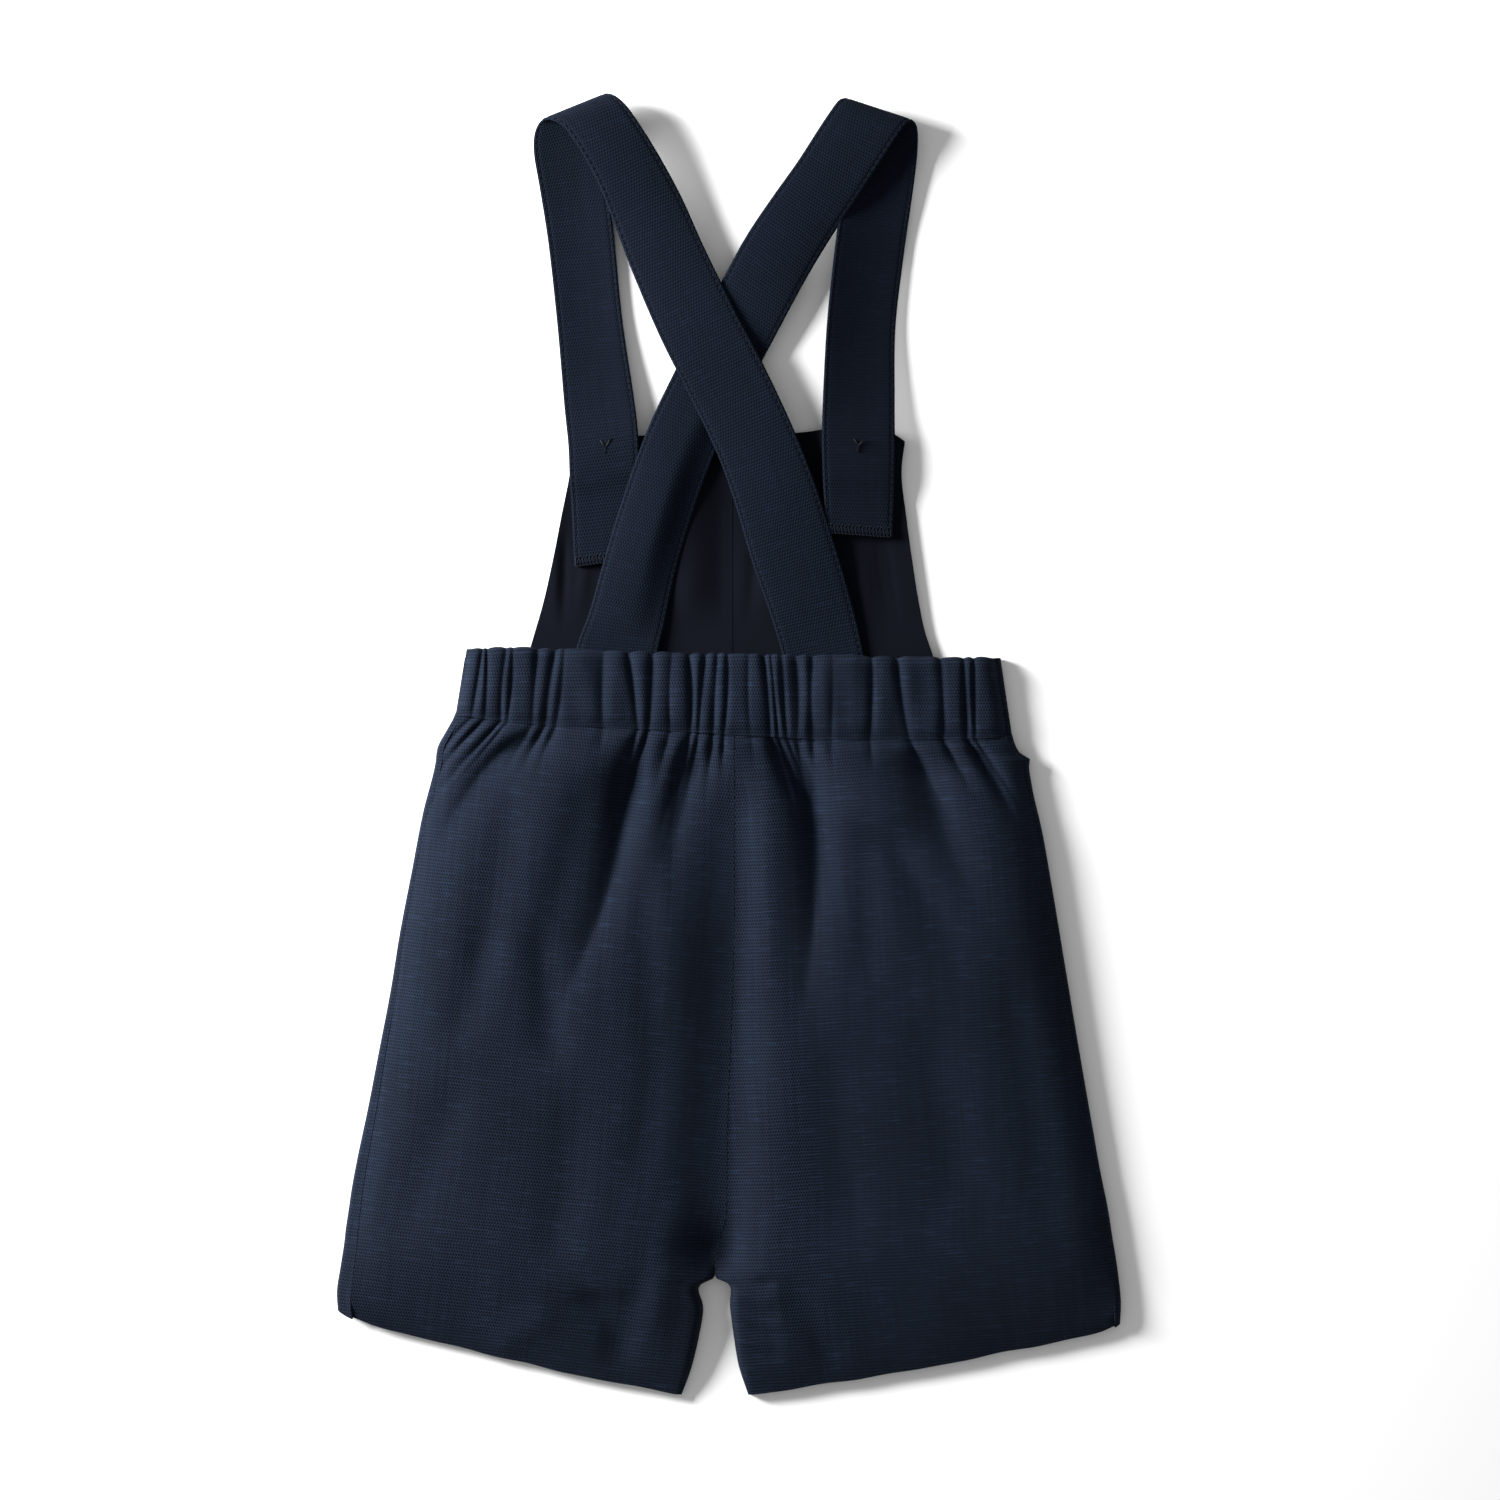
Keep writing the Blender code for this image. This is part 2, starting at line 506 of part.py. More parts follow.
def add_back_waistband(name, material):
    """The casing. Its columns of points run along the gathers from the seam to the top edge."""
    ends = (BACK_BAND[0], BACK_BAND[-1])
    feet = [ends[0].foot_x] + [g.foot for g in GATHERS] + [ends[1].foot_x]
    tops = [ends[0].top_x] + [g.top for g in GATHERS] + [ends[1].top_x]
    width = feet[-1] - feet[0]
    foot_x = feet[0] + gather_columns(feet[0], feet[-1], 2.9) * width
    top_x = np.interp(foot_x, feet, tops)
    foot = np.stack([foot_x, waist_seam_y(foot_x)], -1)
    top = np.stack([top_x, band_top_y(top_x)], -1)
    below = np.array([0, 0.06, 0.45, 0.9, 1.0])[:, None]
    place = top[None] + (foot - top)[None] * below[..., None]
    from_left = np.linalg.norm(place - place[:, :1], axis=2)
    from_right = np.linalg.norm(place - place[:, -1:], axis=2)
    from_end = np.minimum(from_left, from_right)
    level = np.broadcast_to(below, from_end.shape)
    groove = gather_groove(place[..., 0], level, np.zeros_like(from_end))
    edge = 1 - 0.45 * np.exp(-((1 - level) / 0.1) ** 2) - 0.4 * np.exp(-(level / 0.05) ** 2)
    crest = GATHER_CREST * edge * (1 - np.exp(-from_end / 5))
    fine = np.maximum(crest - groove * edge, 0)
    low = BAND_END_LIFT + (WAISTBAND_LIFT - BAND_END_LIFT) * (1 - np.exp(-from_end / 8))
    upper = np.dstack([place, low + fine + WAISTBAND_WALL])
    lower = np.dstack([place, low + fine * 0.5])
    add_wall(name, material, upper, lower)


def add_front_waistband(name, material):
    """Flat on the surface, and turned over a little at both side seams."""
    share = np.array([0.0, 0.33, 0.67, 1.0])
    left_top, left_foot = np.array([-114.0, 37.2]), np.array([-117.9, 13.0])
    right_top, right_foot = np.array([117.0, 37.2]), np.array([122.0, 3.5])
    left = left_top + (left_foot - left_top) * share[:, None]
    right = right_top + (right_foot - right_top) * share[:, None]
    middle_top, middle_foot = np.array([2.4, 36.6]), np.array([2.4, 4.4])
    centre = middle_top + (middle_foot - middle_top) * share[:, None]
    wrap = np.full(4, FRONT_BAND_OUT)
    half_left = turned_sheet(left, centre, wrap, FRONT_WAISTBAND_WALL, 0.9, 5)
    half_right = turned_sheet(right, centre, wrap, FRONT_WAISTBAND_WALL, 0.9, 5)
    middle = np.concatenate([half_left[:, ::-1], half_right[:, 1:]], axis=1)
    add_turned_sheet(name, material, middle, FRONT_WAISTBAND_WALL)


def bib_place(across, down):
    left = np.stack([follow(BIB, "left_x", down), follow(BIB, "left_y", down)], -1)
    right = np.stack([follow(BIB, "right_x", down), follow(BIB, "right_y", down)], -1)
    place = left + (right - left) * across[..., None]
    place[..., 1] += follow(BIB_TOP, "rise", across) * ease(1 - down / 0.2)
    return place


def button_lift(place):
    """How far the bib is held up around its buttons."""
    lift = np.zeros(place.shape[:-1])
    for x, y in BUTTONS.values():
        reach = np.hypot(place[..., 0] - x, place[..., 1] - y)
        lift = np.maximum(lift, (BUTTON_THICKNESS + SEAM_GAP) * ease((26 - reach) / 17.5))
    return lift


def lining_swell(place):
    """The lining's soft vertical ridge beside its seam, and a lower one at each side."""
    x, y = place[..., 0], place[..., 1]
    ridge = LINING_RIDGE * np.exp(-((x + 17) / 9) ** 2) * (x < BIB_SEAM_X)
    ridge = ridge + 0.8 * np.exp(-((x + 75) / 5) ** 2) + 1.0 * np.exp(-((x - 20) / 9) ** 2)
    return ridge * ease((y - 46) / 26) * ease((128 - y) / 20)


def add_bib(linen, cotton):
    downs = np.array([0, 0.05, 0.12, 0.2, 0.3, 0.42, 0.56, 0.7, 0.85, 1.0])
    across, down = np.meshgrid(np.linspace(0, 1, 19), downs)
    place = bib_place(across, down)
    lift = button_lift(place)
    add_wall("bib_front", linen, np.dstack([place, lift + BIB_WALL]), np.dstack([place, lift]))

    for name, start, end in (("bib_lining_left", 0.0, None), ("bib_lining_right", None, 1.0)):
        share, down = np.meshgrid(np.linspace(0, 1, 11), downs)
        left = bib_place(np.zeros_like(share), down)
        right = bib_place(np.ones_like(share), down)
        seam = (BIB_SEAM_X - left[..., 0]) / (right[..., 0] - left[..., 0])
        gap = SEAM_GAP / 2 / (right[..., 0] - left[..., 0])
        low = np.full_like(share, 0.002) if start is not None else seam + gap
        high = seam - gap if start is not None else np.full_like(share, 0.998)
        place = bib_place(low + (high - low) * share, down)
        base = LINING_LIFT + button_lift(place) + lining_swell(place)
        add_wall(name, cotton, np.dstack([place, base + LINING_WALL]), np.dstack([place, base]))


def strap_middle(rows, steps, columns):
    keys = np.arange(len(rows), dtype=float)
    at = np.linspace(0, len(rows) - 1, (len(rows) - 1) * steps + 1)
    line = {name: smooth_line(keys, np.array([getattr(r, name) for r in rows], float), at)
            for name in StrapRow._fields}
    centre = np.stack([line["x"], line["y"], line["z"]], -1)
    turn = np.radians(line["turn"])
    plan = np.stack([np.cos(turn), np.sin(turn), np.zeros_like(turn)], -1)
    across = np.linspace(-1, 1, columns)
    reach = across[None, :, None] * line["width"][:, None, None] / 2
    points = centre[:, None] + plan[:, None] * reach
    points[..., 2] += line["arch"][:, None] * (1 - across[None] ** 2)
    return points


def add_strap(name, material, rows):
    middle = strap_middle(rows, 2, 5)
    normal = surface_normals(middle)
    add_wall(name, material, middle + normal * STRAP_WALL / 2, middle - normal * STRAP_WALL / 2)


def add_button(name, material, x, y):
    """A plain turned disc with eased rims, under the bib."""
    mesh = bmesh.new()
    bmesh.ops.create_cone(mesh, cap_ends=True, segments=24, radius1=BUTTON_RADIUS * MM,
                          radius2=BUTTON_RADIUS * MM, depth=BUTTON_THICKNESS * MM)
    rims = [edge for edge in mesh.edges if abs(edge.verts[0].co.z - edge.verts[1].co.z) < 1e-6]
    bmesh.ops.bevel(mesh, geom=rims, offset=BUTTON_RIM * MM, segments=1, affect="EDGES")
    bmesh.ops.translate(mesh, verts=mesh.verts, vec=(x * MM, y * MM, BUTTON_THICKNESS * MM / 2))
    bmesh.ops.triangulate(mesh, faces=mesh.faces[:])
    bmesh.ops.recalc_face_normals(mesh, faces=mesh.faces[:])
    add_object(name, mesh, material)


clear_scene()
linen = cloth_material("linen_navy", LINEN_NAVY, 0.92)
cotton = cloth_material("cotton_lining_navy", COTTON_NAVY, 0.85)
resin = cloth_material("resin_button_navy", RESIN_NAVY, 0.4)

add_back_panel("back_panel_left", linen, LEFT_LEG)
add_back_panel("back_panel_right", linen, RIGHT_LEG)
add_front_panel("front_panel_left", linen, LEFT_LEG)
add_front_panel("front_panel_right", linen, RIGHT_LEG)
add_back_waistband("back_waistband", linen)
add_front_waistband("front_waistband", linen)
add_bib(linen, cotton)
add_strap("strap_left", linen, LEFT_STRAP)
add_strap("strap_right", linen, RIGHT_STRAP)
for button_name, (button_x, button_y) in BUTTONS.items():
    add_button(button_name, resin, button_x, button_y)
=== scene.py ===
"""Looks for the child's linen shortalls, laid out face down on a white table.

The CAD frame gives sizes and places. Lengths in the tables are millimetres in that frame:
+X right, +Y to the shoulder loops, +Z up to the camera. Left and right are as seen from above.
"""
import math
from collections import namedtuple

import bmesh
import bpy
import numpy as np
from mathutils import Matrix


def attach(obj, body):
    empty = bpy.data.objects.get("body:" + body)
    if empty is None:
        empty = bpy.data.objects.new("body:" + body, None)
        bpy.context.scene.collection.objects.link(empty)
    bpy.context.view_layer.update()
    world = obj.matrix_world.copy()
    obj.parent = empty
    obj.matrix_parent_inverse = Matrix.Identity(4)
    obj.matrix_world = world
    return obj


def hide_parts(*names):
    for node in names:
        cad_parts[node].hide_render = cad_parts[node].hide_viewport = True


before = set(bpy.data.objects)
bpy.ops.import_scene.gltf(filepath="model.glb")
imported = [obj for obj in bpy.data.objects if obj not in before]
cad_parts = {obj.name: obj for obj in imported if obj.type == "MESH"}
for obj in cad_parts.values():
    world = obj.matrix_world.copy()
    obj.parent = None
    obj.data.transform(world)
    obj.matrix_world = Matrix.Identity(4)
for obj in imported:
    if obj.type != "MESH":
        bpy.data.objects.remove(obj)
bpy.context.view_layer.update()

# Table, light and camera: a matt white table, one large soft window light from the upper
# left, a white room all round, and a camera that looks straight down.

MM = 0.001


def linear(colour):
    """An sRGB hex colour as linear RGB."""
    channels = []
    for start in (0, 2, 4):
        value = int(colour[start:start + 2], 16) / 255
        channels.append(value / 12.92 if value <= 0.04045 else ((value + 0.055) / 1.055) ** 2.4)
    return (*channels, 1.0)


def add_node(tree, kind, settings=(), **inputs):
    """A shader node. Inputs are values, or sockets of other nodes to link from."""
    node = tree.nodes.new(kind)
    for name, value in dict(settings).items():
        setattr(node, name, value)
    for name, value in inputs.items():
        key = int(name[2:]) if name.startswith("in") and name[2:].isdigit() else name.replace("_", " ")
        socket = node.inputs[key]
        if isinstance(value, bpy.types.NodeSocket):
            tree.links.new(value, socket)
        else:
            socket.default_value = value
    return node


def aim(item, place, target):
    from mathutils import Vector
    item.location = place
    item.rotation_euler = (Vector(target) - Vector(place)).to_track_quat("-Z", "Y").to_euler()


TABLE_SIZE = 8.0
mesh = bmesh.new()
bmesh.ops.create_grid(mesh, x_segments=4, y_segments=4, size=TABLE_SIZE / 2)
data = bpy.data.meshes.new("table")
mesh.to_mesh(data)
mesh.free()
table = bpy.data.objects.new("table", data)
bpy.context.scene.collection.objects.link(table)
paper = bpy.data.materials.new("white_paper_table")
paper.use_nodes = True
paper_shader = paper.node_tree.nodes["Principled BSDF"]
paper_shader.inputs["Base Color"].default_value = linear("FAFAFA")
paper_shader.inputs["Roughness"].default_value = 0.9
data.materials.append(paper)
table.location.z = -0.0004

KEY_PLACE = (-1.06, 0.38, 0.40)
KEY_SIZE = 0.42
KEY_POWER = 63.0
ROOM_STRENGTH = 0.38
key = bpy.data.lights.new("window_light", "AREA")
key.shape = "SQUARE"
key.size = KEY_SIZE
key.energy = KEY_POWER
key.color = linear("FFFFFF")[:3]
key_lamp = bpy.data.objects.new("window_light", key)
bpy.context.scene.collection.objects.link(key_lamp)
aim(key_lamp, KEY_PLACE, (0, 0, 0))

room = bpy.data.worlds.new("white_room")
room.use_nodes = True
room.node_tree.nodes["Background"].inputs["Color"].default_value = linear("FFFFFF")
room.node_tree.nodes["Background"].inputs["Strength"].default_value = ROOM_STRENGTH
bpy.context.scene.world = room
bpy.context.scene.view_settings.view_transform = "Standard"

FRAME_WIDTH = 0.645
LENS = 85.0
SENSOR = 36.0
AIM_X, AIM_Y = 0.0090, -0.0024
camera_data = bpy.data.cameras.new("camera")
camera_data.lens = LENS
camera_data.sensor_width = SENSOR
camera = bpy.data.objects.new("camera", camera_data)
bpy.context.scene.collection.objects.link(camera)
camera.location = (AIM_X, AIM_Y, FRAME_WIDTH * LENS / SENSOR + 0.006)
bpy.context.scene.camera = camera

# Cloth, thread and button materials: slub linen and fine cotton in plain weave, polyester
# thread and resin. Patterns are in real millimetres, on the UV map that each cloth carries.


def math_node(tree, operation, first, second=0.0, third=0.0):
    node = add_node(tree, "ShaderNodeMath", {"operation": operation}, in0=first, in1=second)
    if operation == "MULTIPLY_ADD":
        node.inputs[2].default_value = third
    return node.outputs[0]


def woven_material(name, dark, light, weft_mm, warp_mm, slub, bump_mm, sheen, roughness):
    """Plain weave in the UV map's metres: weft dashes in rows, some rows thicker and paler."""
    material = bpy.data.materials.new(name)
    material.use_nodes = True
    tree = material.node_tree
    shader = tree.nodes["Principled BSDF"]
    uv = add_node(tree, "ShaderNodeUVMap", {"uv_map": "cloth"}).outputs["UV"]
    drift = add_node(tree, "ShaderNodeTexNoise", {"noise_dimensions": "2D"},
                     Vector=uv, Scale=45.0, Detail=1.0)
    shift = add_node(tree, "ShaderNodeVectorMath", {"operation": "SCALE"},
                     in0=drift.outputs["Color"], Scale=0.0008)
    place = add_node(tree, "ShaderNodeVectorMath", {"operation": "ADD"}, in0=uv,
                     in1=shift.outputs[0])
    parts = add_node(tree, "ShaderNodeSeparateXYZ", Vector=place.outputs[0])
    across, along = parts.outputs["X"], parts.outputs["Y"]
    rows = math_node(tree, "SINE", math_node(tree, "MULTIPLY", along, 2 * math.pi * 1000 / weft_mm))
    half_row = math_node(tree, "SINE", math_node(tree, "MULTIPLY", along, math.pi * 1000 / weft_mm))
    columns = math_node(tree, "SINE",
                        math_node(tree, "MULTIPLY", across, 2 * math.pi * 1000 / warp_mm))
    dashes = math_node(tree, "MULTIPLY", columns, math_node(tree, "SIGN", half_row))
    yarn = add_node(tree, "ShaderNodeCombineXYZ", X=math_node(tree, "MULTIPLY", across, 85.0),
                    Y=math_node(tree, "MULTIPLY", along, 1000 / weft_mm * 0.8))
    weft_noise = add_node(tree, "ShaderNodeTexNoise", {"noise_dimensions": "2D"},
                          Vector=yarn.outputs[0], Scale=1.0, Detail=2.0)
    yarn = add_node(tree, "ShaderNodeCombineXYZ",
                    X=math_node(tree, "MULTIPLY", across, 1000 / warp_mm * 0.8),
                    Y=math_node(tree, "MULTIPLY", along, 22.0))
    warp_noise = add_node(tree, "ShaderNodeTexNoise", {"noise_dimensions": "2D"},
                          Vector=yarn.outputs[0], Scale=1.0, Detail=1.0)
    cloud = add_node(tree, "ShaderNodeTexNoise", {"noise_dimensions": "2D"}, Vector=uv,
                     Scale=14.0, Detail=3.0)
    slubs = add_node(tree, "ShaderNodeMapRange", {"interpolation_type": "SMOOTHSTEP"},
                     Value=weft_noise.outputs["Fac"], From_Min=0.56, From_Max=0.80)
    dots = math_node(tree, "MULTIPLY_ADD", dashes, 0.55, 0.45)
    woven = math_node(tree, "MULTIPLY_ADD", math_node(tree, "MULTIPLY", rows, dots), 0.50, 0.38)
    shade = math_node(tree, "ADD", woven,
                      math_node(tree, "MULTIPLY", slubs.outputs["Result"], slub))
    yarns = math_node(tree, "MULTIPLY_ADD", warp_noise.outputs["Fac"], 0.35, -0.17)
    patches = math_node(tree, "MULTIPLY_ADD", cloud.outputs["Fac"], 0.36, -0.18)
    shade = math_node(tree, "ADD", shade, math_node(tree, "ADD", yarns, patches))
    ramp = add_node(tree, "ShaderNodeMix", {"data_type": "RGBA", "clamp_factor": True}, in0=shade)
    ramp.inputs[6].default_value = linear(dark)
    ramp.inputs[7].default_value = linear(light)
    tree.links.new(ramp.outputs[2], shader.inputs["Base Color"])
    height = math_node(tree, "ADD", woven, math_node(tree, "MULTIPLY", slubs.outputs["Result"], slub))
    bump = add_node(tree, "ShaderNodeBump", Strength=1.0, Distance=bump_mm * MM, Height=height)
    tree.links.new(bump.outputs["Normal"], shader.inputs["Normal"])
    shader.inputs["Roughness"].default_value = roughness
    shader.inputs["Specular IOR Level"].default_value = 0.10
    shader.inputs["Sheen Weight"].default_value = sheen
    shader.inputs["Sheen Roughness"].default_value = 0.45
    shader.inputs["Sheen Tint"].default_value = linear("8FA6C8")
    return material


def plain_material(name, colour, roughness, gloss):
    material = bpy.data.materials.new(name)
    material.use_nodes = True
    tree = material.node_tree
    shader = tree.nodes["Principled BSDF"]
    spot = add_node(tree, "ShaderNodeTexCoord").outputs["Object"]
    grain = add_node(tree, "ShaderNodeTexNoise", Vector=spot, Scale=900.0, Detail=2.0)
    ramp = add_node(tree, "ShaderNodeMix", {"data_type": "RGBA"}, in0=grain.outputs["Fac"])
    base = linear(colour)
    ramp.inputs[6].default_value = tuple(c * 0.75 for c in base[:3]) + (1.0,)
    ramp.inputs[7].default_value = tuple(c * 1.25 for c in base[:3]) + (1.0,)
    tree.links.new(ramp.outputs[2], shader.inputs["Base Color"])
    shader.inputs["Roughness"].default_value = roughness
    shader.inputs["Specular IOR Level"].default_value = gloss
    return material


linen = woven_material("slub_linen_navy", "03060D", "182233", 1.4, 1.2, 0.34, 0.26, 0.02, 0.9)
# The straps' linen is the panels' cloth with painted shade: the same weave in darker, bluer colours
# that stand for the shade on the straps.
strap_linen_painted_shade = woven_material("slub_linen_navy_painted_shade", "02050B", "0D1728", 1.4, 1.2, 0.28, 0.24,
                             0.02, 0.9)
cotton = woven_material("fine_cotton_lining_navy", "03050C", "070A16", 0.45, 0.42, 0.10, 0.02,
                        0.0, 0.95)
thread = plain_material("polyester_thread_navy", "0C121C", 0.8, 0.12)
dark_thread = plain_material("polyester_thread_dark", "080A0F", 0.7, 0.2)
resin = plain_material("resin_button_navy", "1A1E29", 0.35, 0.5)

# Back leg panels: linen, from the waist seam to the hem. Sections across the leg give the
# outline, and a height over the table gives the puff, the gathers, folds and creases.

LegRow = namedtuple("LegRow", "down side_x side_y inner_x inner_y wrap")
LEFT_LEG = [
    LegRow(0.000, -117.9, 12.7, 2.4, 4.1, 2.4),
    LegRow(0.027, -121.9, 5.7, 2.4, -3.6, 2.4),
    LegRow(0.053, -125.6, -1.1, 2.4, -10.9, 2.5),
    LegRow(0.080, -126.6, -8.0, 2.4, -18.6, 2.4),
    LegRow(0.160, -131.8, -28.8, 2.2, -41.3, 2.2),
    LegRow(0.260, -136.8, -54.7, 2.4, -69.7, 2.2),
    LegRow(0.360, -141.8, -80.6, 1.8, -98.1, 2.4),
    LegRow(0.460, -146.0, -106.5, 0.9, -126.4, 2.8),
    LegRow(0.560, -151.0, -132.5, -0.3, -154.8, 3.4),
    LegRow(0.660, -156.0, -158.4, -0.8, -183.2, 4.2),
    LegRow(0.740, -160.4, -179.1, -1.8, -205.9, 4.9),
    LegRow(0.790, -162.8, -192.1, -5.4, -219.0, 5.3),
    LegRow(0.828, -164.2, -201.9, -6.1, -229.8, 5.6),
    LegRow(0.845, -164.9, -206.3, -12.2, -232.9, 5.8),
    LegRow(0.880, -166.0, -215.4, -11.0, -243.0, 6.1),
    LegRow(0.920, -167.6, -225.8, -12.9, -255.5, 6.4),
    LegRow(0.960, -169.0, -236.1, -16.2, -269.0, 6.6),
    LegRow(1.000, -168.7, -245.5, -20.3, -280.0, 6.8),
]
RIGHT_LEG = [
    LegRow(0.000, 122.0, 3.2, 2.4, 4.1, 2.2),
    LegRow(0.027, 125.4, -3.9, 2.4, -3.6, 2.2),
    LegRow(0.031, 126.4, -5.0, 2.4, -4.8, 2.6),
    LegRow(0.036, 129.6, -6.4, 2.4, -6.1, 3.6),
    LegRow(0.041, 129.4, -7.8, 2.4, -7.5, 3.2),
    LegRow(0.080, 130.4, -17.1, 2.4, -18.6, 2.4),
    LegRow(0.160, 134.9, -37.4, 2.2, -41.3, 2.0),
    LegRow(0.260, 139.4, -62.8, 2.4, -69.7, 2.0),
    LegRow(0.360, 143.6, -88.1, 1.8, -98.1, 2.0),
    LegRow(0.460, 147.8, -113.5, 0.9, -126.4, 2.0),
    LegRow(0.560, 152.1, -138.9, -0.3, -154.8, 2.0),
    LegRow(0.660, 156.5, -164.2, -0.8, -183.2, 2.1),
    LegRow(0.740, 160.1, -184.5, -1.8, -205.9, 2.2),
    LegRow(0.790, 162.7, -197.2, -5.4, -219.0, 2.3),
    LegRow(0.828, 164.4, -206.9, -6.1, -229.8, 2.4),
    LegRow(0.845, 165.0, -211.2, -0.6, -232.4, 2.4),
    LegRow(0.880, 166.5, -220.0, 0.2, -242.0, 2.5),
    LegRow(0.920, 167.9, -230.2, 1.9, -255.3, 2.5),
    LegRow(0.960, 168.8, -240.4, 4.0, -267.6, 2.5),
    LegRow(1.000, 168.6, -251.0, 8.1, -280.0, 2.5),
]
HEM_WIDTH = 140
HEM_BOW = 2.2
HEM_RIPPLE = 0.35
CORNER_RISE, CORNER_REACH = 2.0, 2.5
SEAM_GAP = 0.3
SIDE_GAP = 0.06
PANEL_WALL = 1.2

Loft = namedtuple("Loft", "down height")
LOFTS = [
    Loft(0.00, 4.3), Loft(0.03, 6.6), Loft(0.08, 10.0), Loft(0.16, 12.6), Loft(0.30, 13.2),
    Loft(0.45, 12.8), Loft(0.60, 12.2), Loft(0.75, 11.4), Loft(0.88, 10.4), Loft(0.96, 6.0),
    Loft(1.00, 2.6),
]
# Height of the side seam, how steeply the cloth climbs to it, and how soon it is full height.
SIDE_HIGH = 4.4
SIDE_SLOPE = 0.32
SIDE_FOLD = 2.4
SIDE_SHOULDER = 12
INSEAM_LIFT = 1.35
SEAT_SWELL = 1.6
CROTCH_HOLLOW = 4.5

# A row per gather: where its valley meets the band's top edge and the waist seam.
Gather = namedtuple("Gather", "top foot depth half lean reach")
GATHERS = [
    Gather(-105.9, -110.4, 1.6, 1.5, -0.90, 20),
    Gather(-104.0, -105.0, 1.5, 1.3, -0.85, 24),
    Gather(-95.6, -98.2, 1.6, 1.5, -0.80, 26),
    Gather(-92.8, -95.2, 1.2, 1.4, -0.75, 22),
    Gather(-82.2, -84.6, 1.6, 2.0, -0.55, 16),
    Gather(-74.6, -79.2, 2.2, 2.0, -0.50, 14),
    Gather(-70.8, -74.4, 1.4, 2.2, -0.40, 12),
    Gather(-53.8, -54.2, 1.2, 2.4, -0.10, 8),
    Gather(-43.4, -39.2, 2.2, 1.8, -0.30, 34),
    Gather(-33.0, -34.6, 2.2, 1.7, -0.30, 36),
    Gather(-24.6, -25.4, 1.2, 1.8, -0.25, 18),
    Gather(-17.3, -16.6, 2.5, 1.7, -0.25, 42),
    Gather(-10.2, -13.0, 1.9, 1.5, -0.20, 28),
    Gather(-5.0, -7.0, 1.6, 1.4, -0.10, 18),
    Gather(-0.6, -2.2, 1.4, 1.2, -0.05, 12),
    Gather(8.4, 9.4, 0.9, 2.0, 0.15, 10),
    Gather(14.8, 17.6, 2.4, 1.5, 0.35, 24),
    Gather(18.0, 21.2, 1.6, 1.4, 0.40, 20),
    Gather(22.6, 25.0, 1.6, 1.6, 0.40, 18),
    Gather(28.6, 29.4, 2.2, 2.6, 0.15, 40),
    Gather(35.8, 35.8, 1.8, 2.2, 0.10, 12),
    Gather(44.6, 44.0, 0.8, 2.0, 0.05, 8),
    Gather(61.4, 60.6, 1.5, 1.8, 0.10, 8),
    Gather(72.2, 77.6, 2.2, 2.1, 0.50, 34),
    Gather(90.6, 91.9, 1.9, 1.9, 0.55, 16),
    Gather(100.8, 102.2, 2.1, 1.5, 0.60, 24),
    Gather(105.2, 105.9, 1.6, 1.3, 0.65, 24),
]
GATHER_CREST = 3.3

# A row per large fold, four points down its valley line, its rise to the left and right, and
# how soft its line is.
Fold = namedtuple("Fold", "x0 y0 x1 y1 x2 y2 x3 y3 depth dark light soft")
FOLDS = [
    Fold(-84.4, 8.0, -98.6, -4.0, -114.0, -23.9, -130.8, -54.0, 5.0, 8.0, 15.0, 0.05),
    Fold(-105.0, 12.0, -112.0, 4.0, -119.0, -5.0, -125.0, -17.0, 2.0, 3.0, 4.0, 0.05),
    Fold(-38.8, 4.1, -44.5, -28.0, -53.8, -68.0, -74.0, -116.0, 8.0, 12.0, 10.0, 0.02),
    Fold(-12.6, 2.8, -19.0, -20.0, -23.6, -44.7, -24.0, -76.0, 4.4, 8.0, 9.0, 0.08),
    Fold(17.1, 4.1, 24.5, -6.0, 30.0, -17.4, 37.0, -30.0, 3.2, 4.0, 6.0, 0.03),
    Fold(29.2, 4.1, 36.4, -31.0, 37.0, -66.0, 30.0, -122.0, 8.2, 12.0, 12.0, 0.02),
    Fold(77.7, 1.5, 86.3, -20.9, 95.0, -44.7, 112.0, -80.0, 5.6, 12.0, 11.0, 0.10),
    Fold(103.5, 2.4, 110.9, -7.1, 116.0, -17.0, 122.0, -34.0, 3.2, 4.0, 5.5, 0.05),
    Fold(64.0, -30.0, 76.0, -52.0, 90.0, -78.0, 104.0, -112.0, 3.4, 13.0, 12.0, 0.20),
    Fold(-62.0, -232.0, -52.0, -248.0, -46.0, -262.0, -44.0, -276.0, 2.0, 9.0, 9.0, 0.20),
]
FOLD_DEEPER = 1.2
SEAM_VALLEY_DEPTH = 6.6
SEAM_VALLEY_LEFT = 22.0
SEAM_VALLEY_RIGHT = 13.0

